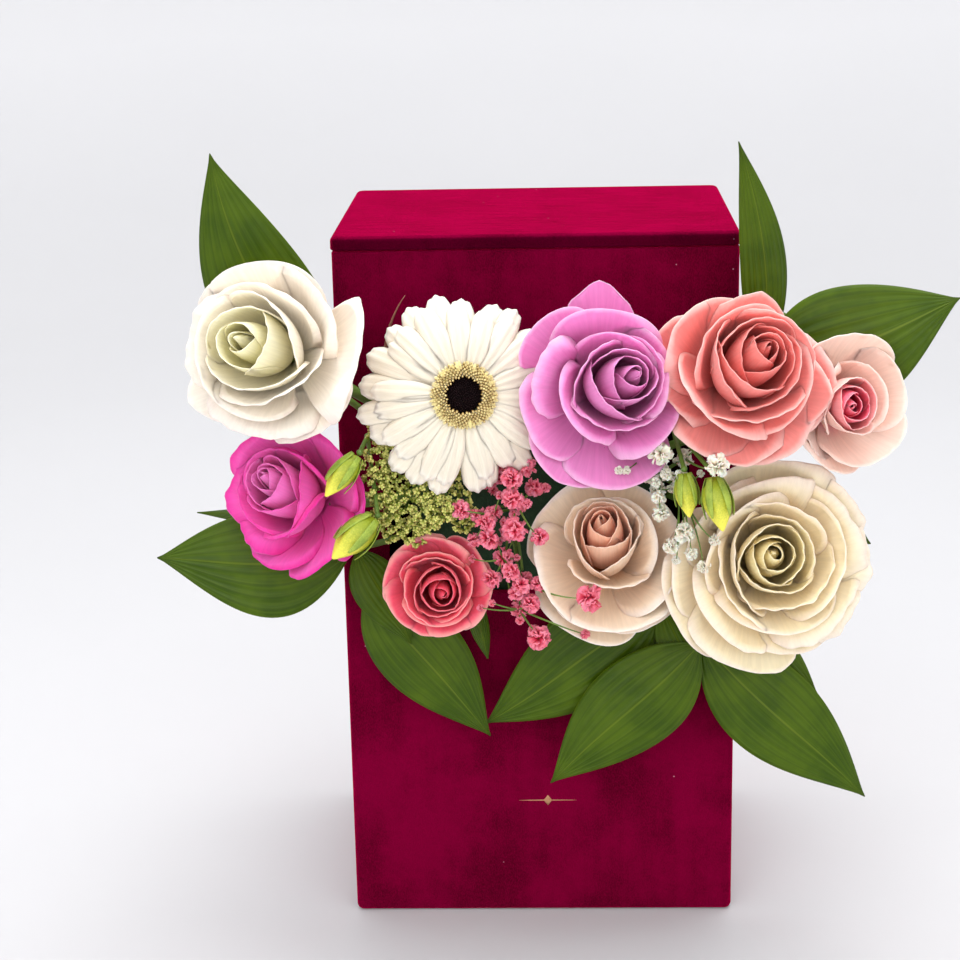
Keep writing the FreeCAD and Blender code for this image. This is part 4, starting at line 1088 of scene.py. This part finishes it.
VELVET = velvet()
dress(VELVET, "body_velvet", "lid_velvet")
LINING = mottled_finish("wine_lining_paper", "#480A22", "#5C0E2C", scale=60.0, grain=1500.0, depth=0.0002,
                        Roughness=0.85, Specular_IOR_Level=0.1)
dress(LINING, "base_board", "left_board", "right_board", "back_board", "front_board", "lid_board",
      "corner_blocks")
dress(mottled_finish("base_paper", "#2A2426", "#352C2F", scale=80.0, grain=1800.0, depth=0.0002,
                     Roughness=0.75), "base_sheet")
dress(mottled_finish("magnet_nickel", "#9A9A9C", "#B8B8BA", scale=300.0, grain=2500.0, depth=0.00003,
                     Roughness=0.28, Metallic=1.0), "block_magnets", "lid_magnets")
dress(mottled_finish("tray_plastic", "#1F2A20", "#283428", scale=90.0, grain=1600.0, depth=0.00005,
                     Roughness=0.4), "foam_tray")
# Floral foam: its own green, darkened further as painted shade for the foam inside the box
dress(mottled_finish("wet_foam", "#16301A", "#203F22", scale=120.0, grain=1400.0, depth=0.0006,
                     Roughness=0.9), "foam_brick")
STEM = mottled_finish("stem_green", "#4F6B23", "#6B8A35", scale=140.0, grain=1500.0, depth=0.0002,
                      Roughness=0.5)
dress(STEM, *[f"rose_{name}_stem" for name in ROSES], "gerbera_stem", "ruscus_stems", "lisianthus_stems",
      "green_filler_stem", "pink_gypsophila_stem", "white_gypsophila_stem")

strip = piece("hinge_strip", hinge_strip(), VELVET, body=None, stands_for=("hinge_cloth",))
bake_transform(strip)
FOIL = mottled_finish("rose_gold_foil", "#B27A56", "#CC9C78", scale=260.0, grain=2400.0, depth=0.00004,
                      Roughness=0.36, Metallic=1.0)
piece("front_foil_line", foil_line(), FOIL)
pad = piece("lid_pad_cover", pad_shape(), LINING, body="lid", stands_for=("lid_pad",))

# Flowers

for number, (name, rose) in enumerate(ROSES.items()):
    rng = np.random.default_rng(ROSE_SEED + number)
    piece(f"rose_{name}_petals", rose_shape(rose, rng), petal_finish(name, rose.colours),
          stands_for=(f"rose_{name}",))
    piece(f"rose_{name}_sepals", sepals(rose, rng), STEM)

rng = np.random.default_rng(GERBERA_SEED)
piece("gerbera_petals", on_gerbera(gerbera_rays(rng)), petal_finish("gerbera", RAY_COLOURS),
      stands_for=("gerbera_rays",))
EYE = tipped_finish("gerbera_eye_black", "#060304", "#1A0A0C", low=0.4, high=1.0, Roughness=0.6,
                    Specular_IOR_Level=0.1)
POLLEN = tipped_finish("gerbera_pollen", "#8E6420", "#F4E2A0", low=0.25, high=0.9, Roughness=0.6)
eye = joined([with_zeros(turned(EYE_DOME, sides=28), "shade"), disc_florets(*EYE_FLORETS, rng)])
piece("gerbera_eye_florets", on_gerbera(eye), EYE, stands_for=("gerbera_eye",))
pollen = disc_florets(*POLLEN_FLORETS, rng)
piece("gerbera_ring_florets", on_gerbera(pollen), POLLEN, stands_for=("gerbera_ring",))

LEAF = leaf_finish()
for first_seed, leaves, nodes in ((LEAF_SEED, LEAVES, True), (SMALL_LEAF_SEED, SMALL_LEAVES, False)):
    for number, (name, leaf) in enumerate(leaves.items()):
        piece(f"ruscus_leaf_{name}", leaf_blade(leaf, np.random.default_rng(first_seed + number)), LEAF,
              stands_for=(f"leaf_{name}",) if nodes else ())
dry_tip = arcs(*[at(place)[None] for place in DRY_TENDRIL], steps=12)
DRY = mottled_finish("dry_tendril", "#7A4A3C", "#A06A58", scale=200.0, grain=1500.0, depth=0.0002,
                     Roughness=0.7)
piece("dry_tendril", tubes(dry_tip, np.linspace(1.0, 0.15, 12)[None] * MM, sides=7), DRY)

rng = np.random.default_rng(FILLER_SEED)
FILLER = tipped_finish("filler_green", "#7C8A1E", "#DAD67A", low=0.35, high=0.9, Roughness=0.6,
                       Subsurface_Weight=0.1, Subsurface_Scale=0.002)
filler = filler_heads(np.array([at(h) for h in GREEN_FILLER.heads + GREEN_FILLER.near]), rng)
piece("green_filler_buds", filler, FILLER, stands_for=("green_filler",))
spray("pink_gypsophila", PINK_GYPSOPHILA, "#D82E50", "#FF90A6", rng)
spray("white_gypsophila", WHITE_GYPSOPHILA, "#E4D6BC", "#FFF7E8", rng)

BUD = tipped_finish("bud_green", "#93A31E", "#E8E250", low=0.2, high=0.9, Roughness=0.42)
closed = joined([with_zeros(on_neck(b, bud_shape(b)), "shade") for b in BUDS])
piece("lisianthus_closed_buds", closed, BUD, stands_for=("lisianthus_buds",))
SEPAL = mottled_finish("bud_sepal", "#76902A", "#A4B840", scale=160.0, grain=1500.0, depth=0.0002,
                       Roughness=0.5)
piece("lisianthus_sepals", joined([on_neck(b, bud_sepals(b)) for b in BUDS]), SEPAL)


# Stage, light and camera

def bowl():
    """A pale round studio: a profile turned about Z, a flat floor that curves up into a wall all round."""
    floor_r, curve_r, top, sides = 1.0, 1.5, 3.0, 96
    turn = np.linspace(0, 0.5 * np.pi, 14)
    curve = np.stack([floor_r + curve_r * np.sin(turn), curve_r * (1 - np.cos(turn))], axis=1)
    profile = np.concatenate([[[0.02, 0.0], [0.35, 0.0], [0.7, 0.0]], curve, [[floor_r + curve_r, top]]])
    angle = ring_angles(sides)
    grid = xyz(profile[:, :1] * np.cos(angle), profile[:, :1] * np.sin(angle), profile[:, 1:])
    faces = grid_faces(len(profile), sides, wrap=True)[:, ::-1].tolist()
    mesh = bpy.data.meshes.new("studio_bowl")
    mesh.from_pydata(grid.reshape(-1, 3).tolist(), [], [*faces, list(range(sides))])
    mesh.shade_smooth()
    material, tree, shader = finish_of("pale_studio", Roughness=0.9, Specular_IOR_Level=0.1)
    height = part_of(tree, space(tree), "Z")
    tone = calc(tree, "MULTIPLY_ADD", noise(tree, space(tree), scale=3.0, detail=2.0), 0.1, 0.5)
    climb = calc(tree, "ADD", ranged(tree, height, -0.1, 0.6, to_high=0.9), tone)
    pale = mixed(tree, climb, "#B0B0B2", "#D6D6D8")
    path = node(tree, "LightPath").outputs
    mirrored = calc(tree, "MAXIMUM", path["Is Glossy Ray"], path["Is Transmission Ray"])
    seen = calc(tree, "MAXIMUM", path["Is Camera Ray"], mirrored)
    plug(tree, shader.inputs["Base Color"], mixed(tree, seen, "#DCDCDE", pale))
    mesh.materials.append(material)
    made = placed("studio_bowl", mesh)


def studio():
    """Soft square lamps from the upper left front, the right and above, and an even pale surround."""
    for name, place, size, power in LAMPS:
        light = bpy.data.lights.new(name, "AREA")
        light.shape = "SQUARE"
        light.size = size
        light.energy = power
        made = placed(name, light)
        made.location = place
        made.rotation_euler = (Vector(LAMP_TARGET) - Vector(place)).to_track_quat("-Z", "Y").to_euler()
    world = bpy.data.worlds.new("studio")
    world.use_nodes = True
    bpy.context.scene.world = world
    shade = world.node_tree.nodes["Background"]
    shade.inputs["Color"].default_value = (1.0, 1.0, 1.0, 1.0)
    shade.inputs["Strength"].default_value = SURROUND


def camera():
    """The camera, at the photograph's place and turn."""
    data = bpy.data.cameras.new("camera")
    data.lens = CAMERA_LENS
    data.sensor_width = SENSOR
    data.clip_start = 0.01
    made = placed("camera", data)
    made.location = CAMERA_AT
    made.rotation_euler = [math.radians(a) for a in CAMERA_TURN]
    bpy.context.scene.camera = made


bowl()
studio()
camera()
bpy.context.scene.view_settings.view_transform = "Standard"
